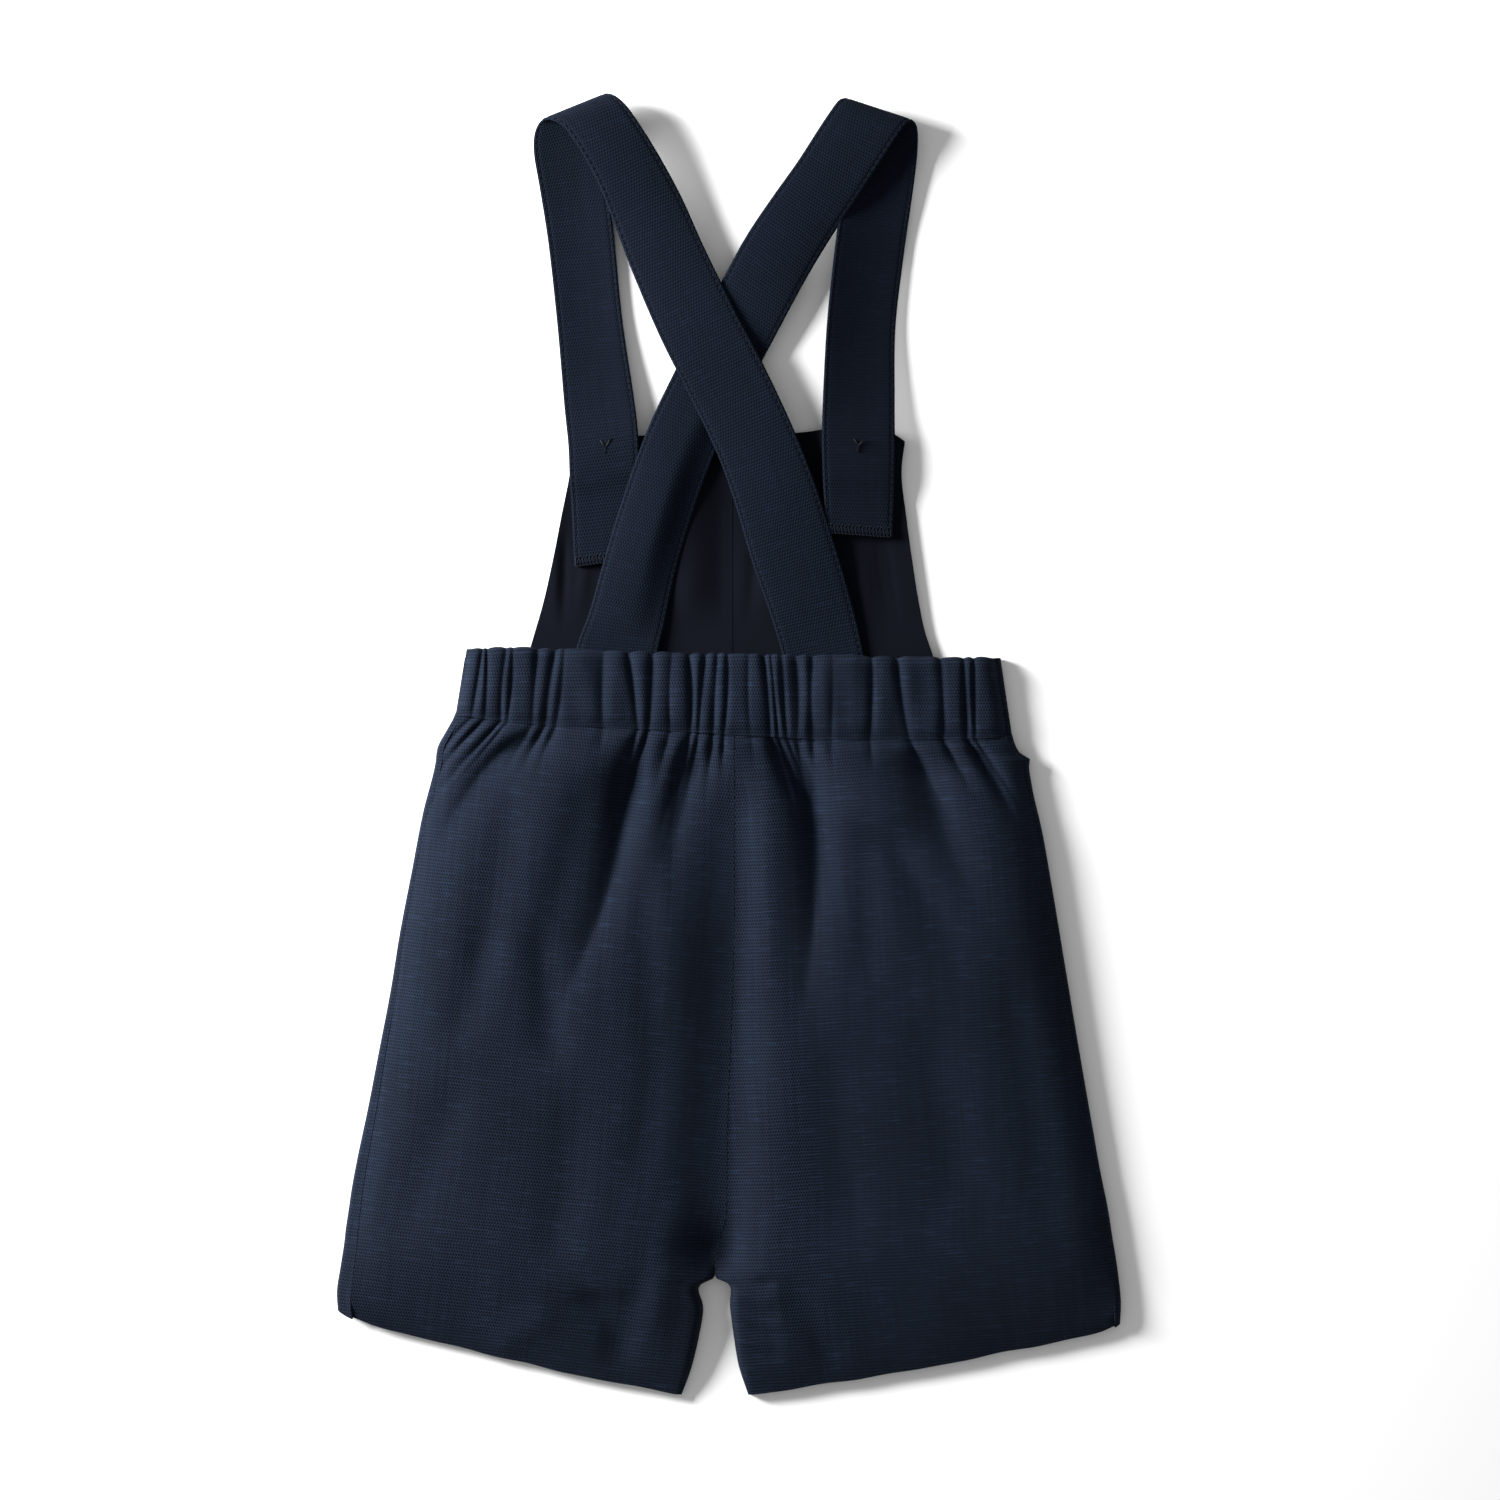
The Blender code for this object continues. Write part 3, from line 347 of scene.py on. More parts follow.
# Soft smaller creases and swells, a row each: a straight line, its depth (swells are
# negative) and its half width.
Crease = namedtuple("Crease", "x0 y0 x1 y1 depth half")
CREASES = [
    Crease(-93.0, -26.0, -106.0, -88.0, 1.5, 9.0),
    Crease(-104.0, -84.0, -116.0, -122.0, 1.2, 8.0),
    Crease(-80.0, -84.0, -76.0, -128.0, 1.8, 8.0),
    Crease(-62.0, -24.0, -74.0, -70.0, 1.0, 8.0),
    Crease(-36.0, -60.0, -34.0, -118.0, 1.2, 8.0),
    Crease(-30.0, -128.0, -38.0, -180.0, 1.1, 9.0),
    Crease(-118.0, -150.0, -140.0, -205.0, 1.2, 11.0),
    Crease(-66.0, -160.0, -74.0, -215.0, 1.0, 10.0),
    Crease(-36.0, -228.0, -48.0, -262.0, 1.2, 7.0),
    Crease(-78.0, -246.0, -98.0, -258.0, -0.8, 7.0),
    Crease(-22.0, -200.0, -34.0, -246.0, -0.8, 8.0),
    Crease(58.0, -36.0, 60.0, -92.0, 1.2, 8.0),
    Crease(14.0, -30.0, 16.0, -96.0, -0.8, 6.0),
    Crease(86.0, -128.0, 98.0, -186.0, 1.2, 11.0),
    Crease(44.0, -140.0, 52.0, -200.0, 1.0, 11.0),
    Crease(122.0, -110.0, 138.0, -200.0, 1.2, 9.0),
    Crease(4.0, -229.0, 17.0, -232.0, 1.2, 3.2),
    Crease(2.0, -240.0, 18.0, -246.0, 1.3, 3.0),
    Crease(3.0, -250.0, 20.0, -255.0, 1.0, 3.0),
    Crease(5.0, -261.0, 20.0, -262.0, 0.8, 3.0),
    Crease(28.0, -236.0, 44.0, -262.0, 1.0, 7.0),
]


def smooth_line(keys, values, at):
    at = np.asarray(at, dtype=float)
    slopes = np.gradient(values, keys)
    first = np.clip(np.searchsorted(keys, at, side="right") - 1, 0, len(keys) - 2)
    span = keys[first + 1] - keys[first]
    t = (at - keys[first]) / span
    rise = (3 - 2 * t) * t * t
    return (values[first] * (1 - rise) + values[first + 1] * rise
            + span * t * (1 - t) ** 2 * slopes[first]
            - span * t * t * (1 - t) * slopes[first + 1])


def follow(rows, column, at):
    """A column's value at each place, on the smooth line through the table's rows."""
    keys = np.array([row[0] for row in rows], dtype=float)
    return smooth_line(keys, np.array([getattr(row, column) for row in rows], dtype=float), at)


def ease(value):
    value = np.clip(value, 0.0, 1.0)
    return value * value * (3 - 2 * value)


def arc_map(points):
    """UV in metres: distance along each row of points, and along its first column."""
    steps = np.linalg.norm(np.diff(points, axis=1), axis=2)
    across = np.concatenate([np.zeros((len(points), 1)), np.cumsum(steps, axis=1)], axis=1)
    middle = points.shape[1] // 2
    across = across - across[:, middle:middle + 1]
    steps = np.linalg.norm(np.diff(points[:, middle], axis=0), axis=1)
    along = -np.concatenate([[0], np.cumsum(steps)])
    return np.dstack([across, np.broadcast_to(along[:, None], across.shape)]) * MM


SHARP_EDGE = 55


def add_cloth(name, material, slot, upper, lower, uv, *nodes):
    """One closed sheet between two grids of points in mm, riding on the garment's body."""
    rows, columns = upper.shape[:2]
    mesh = bmesh.new()
    bmesh.ops.create_grid(mesh, x_segments=columns - 1, y_segments=rows - 1, size=0.5)
    made = bmesh.ops.extrude_face_region(mesh, geom=mesh.faces[:])
    raised = [item for item in made["geom"] if isinstance(item, bmesh.types.BMVert)]
    bmesh.ops.translate(mesh, verts=raised, vec=(0, 0, 1))
    bmesh.ops.recalc_face_normals(mesh, faces=mesh.faces[:])
    data = bpy.data.meshes.new(name)
    mesh.to_mesh(data)
    mesh.free()
    spots = np.zeros(len(data.vertices) * 3, np.float32)
    data.vertices.foreach_get("co", spots)
    spots = spots.reshape(-1, 3)
    column = np.rint((spots[:, 0] + 0.5) * (columns - 1)).astype(int)
    row = rows - 1 - np.rint((spots[:, 1] + 0.5) * (rows - 1)).astype(int)
    top = spots[:, 2] > 0.5
    placed = np.where(top[:, None], upper[row, column], lower[row, column]) * MM
    data.vertices.foreach_set("co", placed.astype(np.float32).ravel())
    corners = np.zeros(len(data.loops), np.int32)
    data.loops.foreach_get("vertex_index", corners)
    layer = data.uv_layers.new(name="cloth")
    layer.data.foreach_set("uv", uv[row, column][corners].astype(np.float32).ravel())
    data.polygons.foreach_set("use_smooth", np.ones(len(data.polygons), bool))
    data.set_sharp_from_angle(angle=math.radians(SHARP_EDGE))
    data.materials.append(material)
    data.update()
    piece = bpy.data.objects.new(name, data)
    bpy.context.scene.collection.objects.link(piece)
    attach(piece, "root")
    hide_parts(*nodes)
    return piece


BandEnd = namedtuple("BandEnd", "across top_x top_y foot_x foot_y")
BACK_BAND = [
    BandEnd(0.00, -110.9, 41.2, -115.3, 12.4),
    BandEnd(0.10, -88.0, 41.1, -91.6, 9.2),
    BandEnd(0.30, -42.6, 39.3, -44.6, 7.0),
    BandEnd(0.50, 2.2, 38.5, 2.4, 4.1),
    BandEnd(0.70, 47.0, 37.7, 49.2, 2.0),
    BandEnd(0.90, 92.0, 36.9, 95.8, 2.3),
    BandEnd(1.00, 114.6, 37.2, 119.6, 3.0),
]


def band_line(x, key, value):
    """The band's top edge or the waist seam: y at each x."""
    keys = np.array([getattr(end, key) for end in BACK_BAND])
    return smooth_line(keys, np.array([getattr(end, value) for end in BACK_BAND]),
                       np.clip(x, keys[0], keys[-1]))


def centre_seam_x(y):
    keys = np.array([-row.inner_y for row in LEFT_LEG[:13]])
    return smooth_line(keys, np.array([row.inner_x for row in LEFT_LEG[:13]]),
                       np.clip(-y, keys[0], keys[-1]))


def gather_groove(x, below, drop):
    total = np.zeros_like(x)
    for index, gather in enumerate(GATHERS):
        line = gather.top + (gather.foot - gather.top) * np.clip(below, 0, 1)
        sway = 0.7 * math.sin(index * 2.4) * np.sin(math.pi * below)
        line = line + gather.lean * drop + sway
        half = gather.half * (1 + drop / 25)
        fade = np.exp(-(drop / gather.reach) ** 2)
        uneven = 1.25 + 0.3 * np.sin(below * 4.0 + index * 1.7)
        total += (gather.depth * uneven * fade * np.exp(-np.abs((x - line) / half) ** 1.3)) ** 3
    return np.minimum(total ** (1 / 3), GATHER_CREST)


def fold_groove(x, y):
    total = np.zeros_like(x)
    for fold in FOLDS:
        keys = np.array([-fold.y0, -fold.y1, -fold.y2, -fold.y3])
        line = smooth_line(keys, np.array([fold.x0, fold.x1, fold.x2, fold.x3]),
                           np.clip(-y, keys[0], keys[-1]))
        way = (-y - keys[0]) / (keys[-1] - keys[0])
        fade = ease((way + 0.02) / 0.22) * ease((1.12 - way) / 0.95)
        off = x - line
        width = np.where(off < 0, fold.dark, fold.light)
        slope = np.sqrt((off / width) ** 2 + fold.soft) - math.sqrt(fold.soft)
        total += FOLD_DEEPER * fold.depth * fade * np.exp(-slope)
    return total


def crease_groove(x, y, creases):
    total = np.zeros_like(x)
    for crease in creases:
        run = np.array([crease.x1 - crease.x0, crease.y1 - crease.y0])
        length = np.linalg.norm(run)
        way = run / length
        ahead = ((x - crease.x0) * way[0] + (y - crease.y0) * way[1]) / length
        aside = (x - crease.x0) * way[1] - (y - crease.y0) * way[0]
        ends = ease((ahead + 0.35) / 0.5) * ease((1.35 - ahead) / 0.5)
        total += crease.depth * ends * np.exp(-(aside / crease.half) ** 2)
    return total


def side_roll(downs, wrap):
    """Height of the back panel's inner face at the side seam, and the side edge's radius."""
    high = np.minimum(SIDE_HIGH, follow(LOFTS, "height", downs))
    return high + SIDE_SLOPE * (wrap - SIDE_FOLD), (high + 0.1) / 2


def back_height(x, y, down, wrap, from_side, from_inner):
    """The back panels' inner face over the surface, and its fine gathers."""
    drop = np.clip(band_line(x, "foot_x", "foot_y") - y, 0, None)
    seam = np.where(x < centre_seam_x(y), SEAM_VALLEY_LEFT, SEAM_VALLEY_RIGHT)
    valley = SEAM_VALLEY_DEPTH * ease(drop / 40) * np.exp(-((x - centre_seam_x(y)) / seam) ** 2)
    valley = valley * ease((0.86 - down) / 0.08)
    swell = SEAT_SWELL * ease(drop / 30) * np.exp(-(drop / 90) ** 2)
    height = follow(LOFTS, "height", down) + swell - fold_groove(x, y) - valley
    height = height - crease_groove(x, y, CREASES)
    height = height - CROTCH_HOLLOW * np.exp(-((x + 5) / 9) ** 2 - ((y + 222) / 12) ** 2)
    seam_high = side_roll(down, wrap)[0]
    height = seam_high + (height - seam_high) * (1 - np.exp(-from_side / SIDE_SHOULDER))
    legs_apart = ease((down - 0.74) / 0.09)
    drop_off = 0.3 * np.exp(-(from_inner / 15) ** 2) + 0.7 * np.exp(-(from_inner / 1.3) ** 1.2)
    height = height - legs_apart * (height - INSEAM_LIFT) * drop_off
    height = INSEAM_LIFT + np.log1p(np.exp((height - INSEAM_LIFT) * 4)) / 4 - math.log(2) / 4
    height = np.maximum(height, INSEAM_LIFT)
    groove = gather_groove(x, np.ones_like(x), drop)
    pinned = 0.55 + 0.45 * ease(drop / 5)
    crest = GATHER_CREST * np.exp(-(drop / 26) ** 2) * pinned * (1 - np.exp(-from_side / 6))
    return height, crest - np.minimum(groove * pinned, crest + 0.4)


CROTCH_DOWN = 0.828


def leg_edges(leg, downs):
    """Outline and inner edge of a leg. Above the crotch both legs share the centre seam."""
    side = np.stack([follow(leg, "side_x", downs), follow(leg, "side_y", downs)], -1)
    both = [np.stack([follow(one, "inner_x", downs), follow(one, "inner_y", downs)], -1)
            for one in (LEFT_LEG, RIGHT_LEG)]
    own = both[0] if leg is LEFT_LEG else both[1]
    joined = (downs <= CROTCH_DOWN)[:, None]
    inner = np.where(joined, (both[0] + both[1]) / 2, own)
    way = (inner - side) / np.linalg.norm(inner - side, axis=1, keepdims=True)
    return side, inner - way * SEAM_GAP / 2, way, follow(leg, "wrap", downs)


def hem_drop(across, x):
    """The hem's bow, its soft uneven ripples and its rounded outer corner."""
    across = np.clip(across, 0, 1)
    corner = CORNER_RISE * np.exp(-across * HEM_WIDTH / CORNER_REACH)
    ripple = np.sin(x / 8.3) * np.sin(x / 27.0 + 0.6) + 0.4 * np.sin(x / 4.1 + 1.0)
    return HEM_BOW * np.sin(math.pi * across) ** 0.6 + HEM_RIPPLE * ripple - corner


# The seam allowance that goes on under the next piece of cloth.
TUCK = 0.9
PANEL_COLUMNS = 230
PANEL_ROWS = 190


def add_back_panel(name, leg, slant, node):
    """slant: how much the weft climbs across the panel."""
    downs = np.linspace(0, 1, PANEL_ROWS) ** 1.25
    side, inner, way, wrap = leg_edges(leg, downs)
    outer = side + way * (wrap + SIDE_GAP)[:, None]
    across, down = np.meshgrid(np.linspace(0, 1, PANEL_COLUMNS), downs)
    if outer[0, 0] > inner[0, 0]:
        across = across[:, ::-1]
    place = outer[:, None] + (inner - outer)[:, None] * across[..., None]
    place[..., 1] -= hem_drop(across, place[..., 0]) * ease((down - 0.9) / 0.1)
    place[0, :, 1] = band_line(place[0, :, 0], "foot_x", "foot_y") + TUCK
    width = np.linalg.norm(inner - outer, axis=1)[:, None]
    low, fine = back_height(place[..., 0], place[..., 1], down, wrap[:, None], across * width,
                            (1 - across) * width)
    upper = np.dstack([place, low + fine + PANEL_WALL])
    lower = np.dstack([place, low + fine * 0.5])
    upper[0, :, 2] -= 0.9
    lower[0, :, 2] -= 0.9
    uv = arc_map(upper)
    uv[..., 1] = (place[..., 1] + slant * place[..., 0]) * MM
    return add_cloth(name, linen, "linen", upper, lower, uv, node)


back_left = add_back_panel("back_leg_left", LEFT_LEG, 0.11, "back_panel_left")
back_right = add_back_panel("back_leg_right", RIGHT_LEG, -0.06, "back_panel_right")

# Front leg panels: linen, flat on the table under the back ones, and turned over the side
# edge up to the side seam.

FRONT_WALL = 1.0


def turned_sheet(edge, toward, wrap, wall, radius, columns):
    """Middle of a wall that lies flat and turns over at its outer edge."""
    length = np.linalg.norm(toward - edge, axis=1, keepdims=True)
    way = (toward - edge) / length
    rows = len(edge)
    points = []
    for share in np.linspace(1, 0, columns):
        reach = wall / 2 + radius + (length - wall / 2 - radius) * share
        points.append(np.hstack([edge + way * reach, np.full((rows, 1), wall / 2)]))
    for angle in np.linspace(20, 180, 9):
        turn = math.radians(angle)
        reach = wall / 2 + radius * (1 - math.sin(turn))
        height = wall / 2 + radius * (1 - math.cos(turn))
        points.append(np.hstack([edge + way * reach, height * np.ones((rows, 1))]))
    last = np.maximum(wrap[:, None], wall / 2 + radius + 0.4)
    for share in (0.5, 1.0):
        reach = wall / 2 + radius + (last - wall / 2 - radius) * share
        height = wall / 2 + 2 * radius + SIDE_SLOPE * (last - SIDE_FOLD).clip(0) * share
        points.append(np.hstack([edge + way * reach, height * np.ones((rows, 1))]))
    return np.stack(points, axis=1)


def surface_normals(points):
    normal = np.cross(np.gradient(points, axis=1), np.gradient(points, axis=0))
    return normal / np.linalg.norm(normal, axis=2, keepdims=True)


def turned_faces(middle, wall):
    normal = surface_normals(middle)
    flat = np.isclose(middle[..., 2], wall / 2)
    if np.sum(normal[flat][:, 2]) < 0:
        normal = -normal
    normal[flat & (normal[..., 2] > 0.7)] = (0, 0, 1)
    return middle + normal * wall / 2, middle - normal * wall / 2


def add_front_panel(name, leg, slant, node):
    downs = np.linspace(0, 1, 110)
    side, inner, way, wrap = leg_edges(leg, downs)
    radius = side_roll(downs, wrap)[1][:, None]
    middle = turned_sheet(side, inner, wrap, FRONT_WALL, radius, 40)
    reach = np.linalg.norm(middle[..., :2] - side[:, None], axis=2)
    share = reach / np.linalg.norm(inner - side, axis=1)[:, None]
    middle[..., 1] -= hem_drop(share, middle[..., 0]) * ease((downs[:, None] - 0.9) / 0.1)
    middle[0, :, 1] += TUCK
    upper, lower = turned_faces(middle, FRONT_WALL)
    uv = arc_map(middle)
    uv[..., 1] = (middle[..., 1] + slant * middle[..., 0]) * MM
    return add_cloth(name, linen, "linen", upper, lower, uv, node)


front_left = add_front_panel("front_leg_left", LEFT_LEG, 0.11, "front_panel_left")
front_right = add_front_panel("front_leg_right", RIGHT_LEG, -0.06, "front_panel_right")

# Waistbands: linen. The back one is an elastic casing drawn into gathers, the front one is
# a flat band that shows only where it turns over at the sides.

WAISTBAND_WALL = 1.5
WAISTBAND_LIFT = 4.3
BAND_END_LIFT = 2.9
TOP_BUMP = 0.9
BAND_GROOVES, BAND_WRINKLE = 0.72, 0.28
CASING_LEFT_TOP, CASING_LEFT_FOOT = -113.0, -117.4


def add_back_waistband():
    feet = [CASING_LEFT_FOOT] + [g.foot for g in GATHERS] + [BACK_BAND[-1].foot_x]
    tops = [CASING_LEFT_TOP] + [g.top for g in GATHERS] + [BACK_BAND[-1].top_x]
    foot_x = np.linspace(feet[0], feet[-1], 560)
    top_x = np.interp(foot_x, feet, tops)
    foot = np.stack([foot_x, band_line(foot_x, "foot_x", "foot_y")], -1)
    top = np.stack([top_x, band_line(top_x, "top_x", "top_y")], -1)
    below = np.concatenate([[0, 0.01, 0.03], np.linspace(0.06, 0.94, 40), [0.97, 0.985, 1]])
    below = below[:, None]
    place = top[None] + (foot - top)[None] * below[..., None]
    from_left = np.linalg.norm(place - place[:, :1], axis=2)
    from_right = np.linalg.norm(place - place[:, -1:], axis=2)
    from_end = np.minimum(from_left, from_right)
    level = np.broadcast_to(below, from_end.shape)
    x, y = place[..., 0], place[..., 1]
    groove = BAND_GROOVES * gather_groove(x, level, np.zeros_like(from_end))
    wrinkle = np.sin(x / 2.3 + y / 9.0) * np.sin(x / 9.1 - y / 13.0 + 1.0)
    groove = groove + BAND_WRINKLE * (wrinkle + 0.6 * np.sin(x / 4.7 - y / 6.0))
    edge = 1 - 0.45 * np.exp(-((1 - level) / 0.1) ** 2) - 0.4 * np.exp(-(level / 0.05) ** 2)
    crest = GATHER_CREST * edge * (1 - np.exp(-from_end / 3))
    fine = np.maximum(crest - groove * edge, 0)
    low = BAND_END_LIFT + (WAISTBAND_LIFT - BAND_END_LIFT) * (1 - np.exp(-from_end / 4))
    upper = np.dstack([place, low + fine + WAISTBAND_WALL])
    upper[0, :, 2] -= 0.7
    lower = np.dstack([place, low + fine * 0.5])
    bump = TOP_BUMP * (fine[4] / GATHER_CREST * 2 - 1) * (1 - np.exp(-from_end[4] / 4))
    for row in range(4):
        upper[row, :, 1] += bump * (1 - row / 4)
        lower[row, :, 1] += bump * (1 - row / 4)
    uv = arc_map(upper)
    uv[..., 1] = place[..., 1] * MM
    return add_cloth("back_casing", linen, "linen", upper, lower, uv, "back_waistband")


casing = add_back_waistband()

FRONT_WAISTBAND_WALL = 1.4
FRONT_BAND_OUT = 2.0
FRONT_BAND_ROWS = 24
BAND_RADIUS = 1.5
# The band's left edge, middle and right edge, each from its top to its foot.
FRONT_BAND = [
    ((-114.0, 37.2), (-117.9, 13.0)),
    ((2.4, 36.6), (2.4, 4.4)),
    ((117.0, 37.2), (122.0, 3.5)),
]


def add_front_waistband():
    share = np.linspace(0, 1, FRONT_BAND_ROWS)[:, None]
    left, centre, right = [np.array(top) + (np.array(foot) - np.array(top)) * share
                           for top, foot in FRONT_BAND]
    wrap = np.full(FRONT_BAND_ROWS, FRONT_BAND_OUT)
    half_left = turned_sheet(left, centre, wrap, FRONT_WAISTBAND_WALL, BAND_RADIUS, 30)
    half_right = turned_sheet(right, centre, wrap, FRONT_WAISTBAND_WALL, BAND_RADIUS, 30)
    middle = np.concatenate([half_left[:, ::-1], half_right[:, 1:]], axis=1)
    upper, lower = turned_faces(middle, FRONT_WAISTBAND_WALL)
    return add_cloth("front_band", linen, "linen", upper, lower, arc_map(middle), "front_waistband")


front_band = add_front_waistband()

# Bib and its lining: linen outside, down on the table, and smooth cotton inside, in two
# pieces that meet at a seam down the middle. Both rise a little over the buttons.

BibRow = namedtuple("BibRow", "down left_x left_y right_x right_y")
BIB = [
    BibRow(0.00, -66.5, 130.4, 75.8, 130.6),
    BibRow(0.15, -68.6, 117.4, 74.4, 117.8),
    BibRow(0.35, -72.4, 98.5, 76.4, 98.5),
    BibRow(0.55, -76.1, 79.5, 79.0, 79.3),
    BibRow(0.75, -80.4, 60.5, 82.0, 60.5),
    BibRow(0.90, -84.0, 48.0, 84.8, 47.6),
    BibRow(1.00, -86.8, 38.4, 88.2, 37.6),
]
BibTop = namedtuple("BibTop", "across rise")
BIB_TOP = [
    BibTop(0.00, 0.0), BibTop(0.06, 1.9), BibTop(0.20, 2.6), BibTop(0.50, 3.0), BibTop(0.70, 4.2),
    BibTop(0.80, 6.0), BibTop(0.90, 5.4), BibTop(0.97, 2.8), BibTop(1.00, 0.0),
]
BIB_SEAM_X = 1.6
BIB_WALL = 1.0
LINING_LIFT = 1.3
LINING_WALL = 0.8
LINING_RIDGE = 2.0
BUTTON_THICKNESS = 2.5
LIFT_REACH, LIFT_SLOPE = 26, 17.5
BUTTONS = {"left": (-53.4, 126.6), "right": (55.8, 126.6)}
# The lining's small soft folds.
LINING_CREASES = [
    Crease(-71.0, 84.0, -72.0, 46.0, 0.7, 2.2),
    Crease(-62.0, 76.0, -66.0, 48.0, -0.5, 3.0),
    Crease(-3.0, 108.0, -1.5, 50.0, 0.5, 5.0),
    Crease(12.0, 92.0, 8.0, 44.0, 0.5, 3.0),
    Crease(66.0, 84.0, 72.0, 44.0, 0.6, 3.0),
    Crease(58.0, 78.0, 62.0, 44.0, -0.4, 3.0),
]


def bib_place(across, down):
    left = np.stack([follow(BIB, "left_x", down), follow(BIB, "left_y", down)], -1)
    right = np.stack([follow(BIB, "right_x", down), follow(BIB, "right_y", down)], -1)
    place = left + (right - left) * across[..., None]
    place[..., 1] += follow(BIB_TOP, "rise", across) * ease(1 - down / 0.2)
    return place


def button_lift(place):
    lift = np.zeros(place.shape[:-1])
    for x, y in BUTTONS.values():
        reach = np.hypot(place[..., 0] - x, place[..., 1] - y)
        lift = np.maximum(lift, (BUTTON_THICKNESS + SEAM_GAP) * ease((LIFT_REACH - reach) / LIFT_SLOPE))
    return lift


def lining_swell(place):
    x, y = place[..., 0], place[..., 1]
    ridge = LINING_RIDGE * np.exp(-((x + 17) / 9) ** 2) * (x < BIB_SEAM_X)
    ridge = ridge + 0.8 * np.exp(-((x + 75) / 5) ** 2) + 1.0 * np.exp(-((x - 20) / 9) ** 2)
    small = np.clip(crease_groove(x, y, LINING_CREASES), -0.6, 0.9)
    return np.maximum(ridge - small + 0.3, 0) * ease((y - 46) / 26) * ease((128 - y) / 20)


across, down = np.meshgrid(np.linspace(0, 1, 150), np.linspace(0, 1, 100))
place = bib_place(across, down)
lift = button_lift(place)
uv = np.array(place) * MM
bib = add_cloth("bib_linen", linen, "linen", np.dstack([place, lift + BIB_WALL]),
                np.dstack([place, lift]), uv, "bib_front")


def add_lining(name, on_left, node):
    share, down = np.meshgrid(np.linspace(0, 1, 110), np.linspace(0, 1, 110))
    left_x = bib_place(np.zeros_like(share), down)[..., 0]
    width = bib_place(np.ones_like(share), down)[..., 0] - left_x
    seam = (BIB_SEAM_X - left_x) / width
    gap = SEAM_GAP / 2 / width
    low = np.full_like(share, 0.002) if on_left else seam + gap
    high = seam - gap if on_left else np.full_like(share, 0.998)
    place = bib_place(low + (high - low) * share, down)
    base = LINING_LIFT + button_lift(place) + lining_swell(place)
    return add_cloth(name, cotton, "cotton_lining", np.dstack([place, base + LINING_WALL]),
                     np.dstack([place, base]), np.array(place) * MM, node)


lining_left = add_lining("lining_left", True, "bib_lining_left")
lining_right = add_lining("lining_right", False, "bib_lining_right")

# Shoulder straps: linen folded to a flat band, topstitched along both edges, and crossed on
# the back. Each follows a line of places, with its turn, width and tilt.

# tilt: the left edge up, in degrees. fall: how far the right third droops.
StrapRow = namedtuple("StrapRow", "x y z turn width arch tilt fall", defaults=(0.0, 0.0))
LEFT_STRAP = [
    StrapRow(-52.5, 78.7, 3.7, 7.8, 28.6, 0.0),
    StrapRow(-53.1, 104.7, 4.2, 6.7, 29.7, 0.0),
    StrapRow(-53.6, 117.0, 6.2, 7.2, 30.2, 0.0),
    StrapRow(-54.1, 131.0, 6.2, 8.0, 30.4, 0.0),
    StrapRow(-56.0, 148.1, 4.4, 5.0, 30.2, -0.4),
    StrapRow(-60.1, 182.5, 2.4, 5.3, 28.1, -0.8),
    StrapRow(-63.7, 216.9, 2.4, 5.2, 28.5, -0.8),
    StrapRow(-67.0, 240.4, 2.7, 7.7, 29.1, -0.8),
    StrapRow(-69.8, 257.5, 3.9, 13.0, 29.2, -0.6),
    StrapRow(-69.8, 267.6, 5.9, 18.6, 29.2, -0.3),
    StrapRow(-67.4, 273.1, 8.8, 21.8, 29.3, 0.0),
    StrapRow(-63.4, 273.4, 11.8, 21.5, 29.0, 0.3),
    StrapRow(-57.3, 269.1, 13.3, 20.5, 28.0, 0.6),
    StrapRow(-49.5, 257.8, 12.8, 23.0, 28.0, 0.8),
    StrapRow(-42.1, 244.8, 11.4, 23.2, 29.0, 0.8),
    StrapRow(-34.5, 228.5, 9.8, 22.0, 31.2, 0.8),
    StrapRow(-25.5, 206.8, 8.6, 22.6, 32.6, 0.7),
    StrapRow(-13.8, 181.2, 8.2, 24.6, 34.0, 0.6),
    StrapRow(-1.2, 156.6, 8.2, 24.4, 34.4, 0.4),
    StrapRow(11.2, 130.3, 8.4, 21.5, 34.4, 0.6),
    StrapRow(19.7, 107.9, 8.0, 19.6, 35.4, 0.8),
    StrapRow(26.6, 85.6, 6.8, 19.2, 36.2, 0.9),
    StrapRow(33.2, 65.4, 5.2, 17.0, 35.4, 0.8),
    StrapRow(38.8, 46.2, 3.8, 12.5, 34.6, 0.2),
    StrapRow(41.4, 33.4, 3.3, 11.5, 34.8, 0.0),
]
